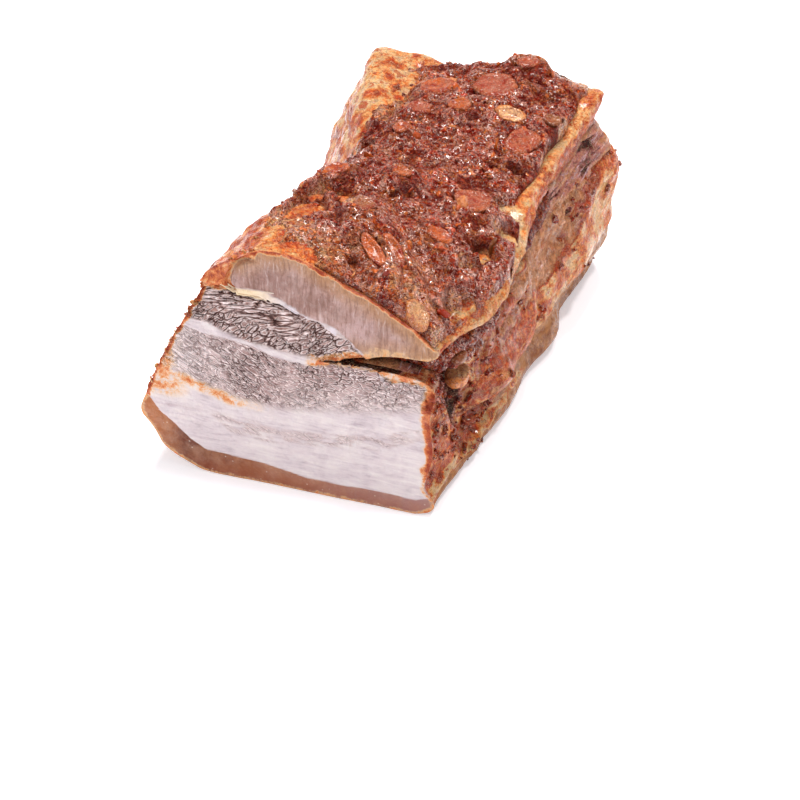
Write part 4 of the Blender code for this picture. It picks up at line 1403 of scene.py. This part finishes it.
def lean_colours(kits, at, cloudy, nets):
    """Cooked lean: its colour, with painted shade in its cracks and painted highlights on their ridges, where
    it lies, and its height.
    """
    lean, pale, crack = painted(at, "lean", "pale", "crack")
    slant, coarse, layered = painted(at, "slant", "coarse", "layered")
    gap, ridge, high = (
        between(nets["even"][title], nets["slanted"][title], slant) * lean
        + between(nets["curly"][title], nets["long"][title], layered) * coarse
        for title in ("Gap", "Ridge", "Height")
    )
    patchy = larger(noise(at, 190, 5, 0.65, 0.6).remap(0.40, 0.56, 0.12, 1.0), coarse)
    patchy = patchy * pale.remap(0.0, 1.0, 1.0, 0.25)
    fibre = use(kits["fibre"], at, Stretch=(1.0, 1.0, 0.16), Scale=850.0)
    muscle = cloudy.ramp((0.4, (164, 128, 120)), (0.6, (184, 152, 148)))
    flesh = pale.ramp((0.0, (166, 134, 131)), (1.0, (210, 193, 193))).under(muscle, coarse)
    flesh = flesh.under((150, 112, 100), fibre["Mask"] * 0.2)
    # Painted shade in the cracks and painted highlights along their ridges
    flesh = flesh.under((84, 54, 50), crack * 0.3)
    flesh = flesh.under((240, 222, 220), ridge * 0.85)
    flesh = flesh.under((96, 66, 62), nets["fine"]["Gap"] * lean * patchy * 0.4)
    flesh = flesh.under((56, 30, 27), gap * patchy * 0.95)
    return flesh, larger(lean, coarse), fibre["Height"] * 0.4 + high * (coarse * 0.8 + 0.8)


def top_colours(cloudy, tan, hatch):
    """The top muscle: lilac-grey, tanned towards its rim, with a fine upright hatching."""
    ripe = cloudy.ramp((0.38, (146, 112, 104)), (0.5, (164, 130, 122)), (0.64, (178, 146, 142)))
    ripe = ripe.under((166, 122, 90), tan)
    ripe = ripe.under((118, 84, 70), hatch.remap(0.5, 0.38, 0.0, 0.5))
    return ripe.under((214, 192, 190), hatch.remap(0.56, 0.70, 0.0, 0.3))


def rind_colours(at):
    """Cooked rind: brown and half clear, lighter in places, with pale specks."""
    gel = at_axis(at, 0).remap(-0.043, 0.035).ramp(
        (0.0, (160, 96, 58)), (0.05, (98, 50, 36)), (0.28, (134, 78, 50)), (0.55, (150, 100, 78)),
        (1.0, (152, 114, 108)),
    )
    gel = gel.under((188, 140, 110), noise(at, 200, 5, 0.65, 0.3).remap(0.35, 0.7) * 0.4)
    gel = gel.under((226, 206, 192), cells(at, 480).remap(0.14, 0.05) * 0.5)
    return gel.under((150, 72, 44), at_axis(at, 2).remap(0.007, 0.0, 0.0, 0.4))


def cut_colours(kits, at):
    """The layers of the cut, one over the other, with their stains and painted shade in the gap under the
    membrane; and its height.
    """
    crack, rind, stain, top, tan, membrane = painted(at, "crack", "rind", "stain", "top", "tan", "membrane")
    cloudy = noise(at, 130, 4, 0.6, 0.5)
    layers = noise(stretched(at, (0.22, 1, 1.6)), 520, 5, 0.65, 0.5)
    hatch = noise(stretched(at, (1.0, 1.0, 0.13)), 1500, 3, 0.6, 0.6)
    nets = {
        name: use(kits["cracks"], turned(at, angle, length), Scale=scale, Width=width)
        for name, (angle, length, scale, width) in CRACK_NETS.items()
    }
    milk = cloudy * 0.45 + layers * 0.55
    fat = milk.ramp((0.32, (166, 150, 156)), (0.46, (198, 184, 187)), (0.62, (213, 202, 200)))
    flesh, is_lean, lean_height = lean_colours(kits, at, cloudy, nets)
    skin = at_axis(at, 0).remap(-0.014, -0.002).ramp((0.0, (222, 198, 166)), (1.0, (206, 194, 200)))
    skin = skin.under((176, 150, 134), cloudy.remap(0.5, 0.62, 0.0, 0.5))
    body = fat.under(flesh, is_lean).under(skin, membrane).under(top_colours(cloudy, tan, hatch), top)
    # Painted shade in the gap under the membrane
    body = body.under((52, 30, 28), crack.maths("SUBTRACT", 1.0, clamp=True) * 0.85)
    body = body.under(rind_colours(at), rind)
    stained = use(kits["stain"], at, Colour=body, Amount=stain, Scale=420.0)
    return stained["Colour"], lean_height + hatch * top * 0.8


def outside_colours(kits, at):
    """The outside, on one scale from rind gel over cream fat and oiled crust to flesh and the painted shade
    of hollows, with painted shade and painted highlights along its wrinkles.
    """
    (zone,) = painted(at, "zone")
    speckle = (noise(at, 900, 5, 0.68, 0.8) - 0.5) * 0.48
    cloud = (noise(at, 330, 4, 0.6, 1.2) - 0.5) * 0.40
    veins = use(kits["glints"], at, Scale=420.0, Width=0.05)
    stained = zone.remap(0.18, 0.24) * zone.remap(0.62, 0.5)
    vein = veins["Line"] * veins["Patch"] * (stained * 0.16)
    spread = (speckle + cloud) * zone.remap(0.02, 0.24, 0.35, 1.0) * zone.remap(0.60, 0.68, 1.0, 0.45)
    hue = zone.maths("ADD", spread + vein, clamp=True).ramp(*OUTSIDE_SCALE)
    fibre = use(kits["fibre"], at, Stretch=(1.0, 1.0, 0.18), Scale=1000.0)
    in_flesh = zone.remap(0.66, 0.7) * zone.remap(0.82, 0.78)
    hue = hue.under((112, 74, 50), fibre["Mask"] * in_flesh * 0.45)
    threads = noise(stretched(at, (1, 0.1, 1)), 1300, 3, 0.6, 0.5)
    in_strands = zone.remap(0.76, 0.82) * zone.remap(0.97, 0.9)
    hue = hue.under((206, 172, 180), threads.remap(0.56, 0.66) * in_strands * 0.75)
    # Painted shade in the wrinkles' creases and painted highlights on their lines
    wrinkles = use(kits["glints"], at, Scale=560.0, Width=0.03)
    small = use(kits["glints"], at, Scale=1000.0, Width=0.035)
    amount = zone.remap(0.16, 0.24, 0.15, 0.7)
    dark = larger(wrinkles["Crease"], small["Crease"] * 0.6) * amount
    pale = larger(wrinkles["Line"], small["Line"]) * amount
    hue = hue.under((106, 38, 20), dark * 0.75).under((240, 200, 158), pale * 0.4)
    return hue, speckle * 2.4 + threads * in_strands + (pale - dark)


def belly_material(kits):
    made, shader, at = material(
        "Cooked belly", Subsurface_Weight=0.08, Subsurface_Scale=0.001, Subsurface_Radius=(1.0, 0.55, 0.4),
        Coat_Roughness=0.12, Specular_IOR_Level=0.1,
    )
    outer, zone = painted(at, "outer", "zone")
    inside, inside_height = cut_colours(kits, at)
    outside, outside_height = outside_colours(kits, at)
    gloss = use(kits["gloss"], at, Scale=1100.0, Wet=0.2, Dry=0.5)
    height = inside_height + (outside_height - inside_height) * outer + gloss["Height"] * 0.6
    wet = gloss["Roughness"].remap(0.38, 0.26, 0.03, 0.4)
    feed(shader.inputs["Coat Weight"], zone.remap(0.96, 0.8) * wet)
    dress(shader, inside.under(outside, outer), gloss["Roughness"], height, 0.7, 0.0006)
    return made


def paste_material(kits):
    made, shader, at = material("Spice paste", Coat_Roughness=0.08, Specular_IOR_Level=0.06)
    thin, grain, deep, crest = painted(at, "thin", "grain", "deep", "crest")
    value = noise(at, 750, 5, 0.65, 0.6) * 0.6 + grain * 0.1 + noise(at, 1900, 3, 0.6, 0.5) * 0.3
    hue = value.ramp((0.38, (104, 8, 2)), (0.46, (162, 32, 9)), (0.53, (196, 68, 28)), (0.60, (228, 130, 74)))
    golden = value.ramp((0.38, (136, 36, 10)), (0.48, (190, 86, 28)), (0.58, (222, 132, 62)))
    hue = hue.under(golden, noise(at, 170, 5, 0.6, 0.8).remap(0.50, 0.62) * 0.75)
    # Painted shade in the paste's low places
    hue = hue.under((64, 6, 3), deep * 0.7)
    bare = noise(at, 420, 6, 0.68, 1.2).ramp(
        (0.34, (136, 44, 20)), (0.46, (196, 98, 46)), (0.58, (226, 168, 112)), (0.7, (238, 206, 164)),
    )
    hue = hue.under(bare, thin.remap(0.25, 0.85))
    glints = use(kits["glints"], at, Scale=600.0, Width=0.04)
    small = use(kits["glints"], at, Scale=1000.0, Width=0.045)
    # Painted shade in creases, and painted highlights on the glint lines and crests, weaker in the low places
    creases = larger(glints["Crease"], small["Crease"] * 0.7)
    lines = larger(larger(glints["Line"], small["Line"] * 0.85), crest * 0.4)
    shine = lines * glints["Patch"].remap(0.0, 1.0, 0.6, 1.0) * deep.remap(0.8, 0.4, 0.15, 0.9)
    hue = hue.under((70, 5, 1), creases * 0.88).under((246, 190, 172), shine)
    gloss = use(kits["gloss"], at, Scale=2300.0, Wet=0.12, Dry=0.34)
    height = gloss["Height"] * 0.5 + noise(at, 640, 4, 0.62, 1.6) * 1.2 + (lines - creases) * 0.6
    feed(shader.inputs["Coat Weight"], (lines * deep.remap(0.9, 0.5)).remap(0.0, 0.8, 0.07, 0.75))
    dress(shader, hue, gloss["Roughness"], height, 0.9, 0.001)
    return made


def garlic_material(kits):
    made, shader, at = material(
        "Glazed garlic", Coat_Weight=0.3, Coat_Roughness=0.12, Subsurface_Weight=0.15, Subsurface_Scale=0.001,
        Specular_IOR_Level=0.1,
    )
    rim, cooked, smear = painted(at, "rim", "cooked", "smear")
    flesh = cooked.ramp(
        (0.0, (138, 66, 50)), (0.35, (172, 74, 12)), (0.65, (112, 66, 28)), (1.0, (214, 164, 116)),
    )
    edge = cooked.ramp(
        (0.0, (150, 68, 28)), (0.35, (168, 76, 24)), (0.65, (100, 56, 22)), (1.0, (204, 122, 56)),
    )
    hue = flesh.under(edge, rim)
    fibre = use(kits["fibre"], at, Stretch=(0.5, 0.5, 1.0), Scale=900.0)
    hue = hue.under(hue.under((232, 170, 138), 0.35), fibre["Mask"] * 0.4)
    hue = hue.under((120, 42, 20), noise(at, 800, 5, 0.65, 0.6).remap(0.5, 0.36, 0.0, 0.6))
    hue = hue.under((128, 36, 16), smear * noise(at, 700, 5, 0.65, 0.6).remap(0.40, 0.58))
    # Painted shade in creases and painted highlights on the glint lines
    glints = use(kits["glints"], at, Scale=900.0, Width=0.04)
    hue = hue.under((112, 34, 16), glints["Crease"] * 0.5).under((236, 176, 152), glints["Line"] * 0.55)
    gloss = use(kits["gloss"], at, Scale=1500.0, Wet=0.16, Dry=0.36)
    height = gloss["Height"] * 0.8 + (fibre["Height"] + glints["Line"])
    dress(shader, hue, gloss["Roughness"], height, 0.8, 0.0007)
    return made


def bits_material(kits):
    """Crumbs of garlic, pepper and herbs, each of one of a few colours."""
    made, shader, at = material("Spice bits", Coat_Weight=0.3, Coat_Roughness=0.12, Specular_IOR_Level=0.1)
    (grain,) = painted(at, "grain")
    hue = grain.ramp(
        (0.0, (160, 64, 22)), (0.3, (182, 90, 34)), (0.5, (196, 132, 84)), (0.65, (156, 36, 14)),
        (0.8, (104, 62, 28)), (1.0, (128, 24, 10)),
    )
    hue = hue.under((140, 56, 26), noise(at, 1400, 4, 0.6).remap(0.4, 0.65) * 0.5)
    gloss = use(kits["gloss"], at, Scale=2000.0, Wet=0.15, Dry=0.4)
    dress(shader, hue, gloss["Roughness"], gloss["Height"], 0.6, 0.0004)
    return made


def floor_material():
    made, shader, at = material(
        "White table", Specular_IOR_Level=0.1, Roughness=0.9, Emission_Strength=0.3,
        Emission_Color=(0.93, 0.93, 1.0, 1),
    )
    shade = noise(at, 3, 2, 0.5).ramp((0.3, (250, 250, 252)), (0.7, (252, 252, 254)))
    feed(shader.inputs["Base Color"], shade)
    return made


# ---------------------------------------------------------------- camera, floor and light


def set_camera():
    turn = (math.radians(CAMERA_TILT), 0, math.radians(CAMERA_TURN))
    bpy.ops.object.camera_add(location=CAMERA_PLACE, rotation=turn)
    camera = bpy.context.object
    camera.data.lens = CAMERA_LENS
    camera.data.sensor_width = SENSOR
    bpy.context.scene.camera = camera


def soft_lamp(name, spot, target, size, power, tint=(1, 1, 1)):
    way = Vector(target) - Vector(spot)
    turn = way.to_track_quat("-Z", "Y").to_euler()
    lamp = new_piece(bpy.ops.object.light_add, name, type="AREA", location=spot, rotation=turn)
    lamp.data.shape = "DISK"
    lamp.data.size = size
    lamp.data.energy = power
    lamp.data.color = tint


def set_studio():
    disc = bpy.ops.mesh.primitive_circle_add
    floor = new_piece(disc, "table", vertices=64, radius=3, fill_type="NGON", location=(0, 0, -0.0002))
    floor.data.materials.append(floor_material())
    soft_lamp("window", (-0.15, 0.4, 1.15), (0, 0, 0.03), 0.45, 18.0, (1.0, 0.99, 0.97))
    soft_lamp("front", (-0.25, -0.9, 1.0), (0, 0, 0.03), 0.5, 6.0, (1.0, 0.99, 0.98))
    soft_lamp("fill", (1.0, 0.1, 0.45), (0, 0, 0.03), 0.6, 3.0)
    soft_lamp("spark", (0.25, 0.1, 1.0), (0, 0, 0.06), 0.1, 3.5)
    world = bpy.data.worlds.new("Studio")
    bpy.context.scene.world = world
    world.use_nodes = True
    sky = world.node_tree.nodes["Background"]
    sky.inputs["Color"].default_value = (0.98, 0.98, 1.0, 1)
    sky.inputs["Strength"].default_value = 0.42
    bpy.context.scene.view_settings.view_transform = "Standard"


# ---------------------------------------------------------------- putting it together


def settle(piece, finish, slot, *nodes):
    """Gives a piece its material and the root body, and hides the solids that it stands for. The slot is not
    used.
    """
    piece.data.materials.clear()
    piece.data.materials.append(finish)
    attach(piece, "root")
    if nodes:
        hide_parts(*nodes)


def solids_named(start):
    return [name for name in sorted(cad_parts) if name.startswith(start)]


def main():
    set_camera()
    set_studio()
    kits = dict(
        stain=oil_stain(), fibre=meat_fibre(), cracks=crack_net(), glints=oil_glints(), gloss=wet_gloss(),
    )
    makers = (belly_material, paste_material, garlic_material, bits_material)
    meat, paste, garlic, bits = (make(kits) for make in makers)
    rng = np.random.default_rng(5)

    belly = shape_belly()
    finish_belly(belly)
    settle(belly, meat, "pork_belly", "belly_slab")
    settle(shape_web(belly), meat, "pork_belly")
    settle(shape_strip(), meat, "pork_belly")
    settle(shape_ribbons(), meat, "pork_belly")
    settle(strew_flakes(belly, rng), meat, "pork_belly")
    settle(strew_crumbs(belly, rng), paste, "spice_paste")
    slices = solids_named("garlic_slice")
    coat = shape_coat(belly, [disc_frame(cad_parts[name]) for name in slices])
    settle(coat, paste, "spice_paste", "paste_coat")
    settle(strew_grains(coat, rng), paste, "spice_paste")
    settle(strew_bits(coat, rng), bits, "garlic")
    settle(shape_filling(), paste, "spice_paste", "paste_filling")
    settle(shape_mouth(), paste, "spice_paste")
    chunks = solids_named("garlic_chunk")
    for first, solids, cooked in ((1, slices, SLICE_COOKED), (CHUNK_SEED, chunks, CHUNK_COOKED)):
        for seed, (solid, done) in enumerate(zip(solids, cooked), first):
            settle(shape_garlic(solid, done, seed), garlic, "garlic", solid)


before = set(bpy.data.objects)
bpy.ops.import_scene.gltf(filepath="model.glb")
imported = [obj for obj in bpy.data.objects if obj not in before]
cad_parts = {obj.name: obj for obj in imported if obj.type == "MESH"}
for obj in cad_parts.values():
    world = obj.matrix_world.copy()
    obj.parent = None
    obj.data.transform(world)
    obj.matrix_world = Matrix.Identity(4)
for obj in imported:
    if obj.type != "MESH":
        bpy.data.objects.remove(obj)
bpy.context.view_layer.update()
main()
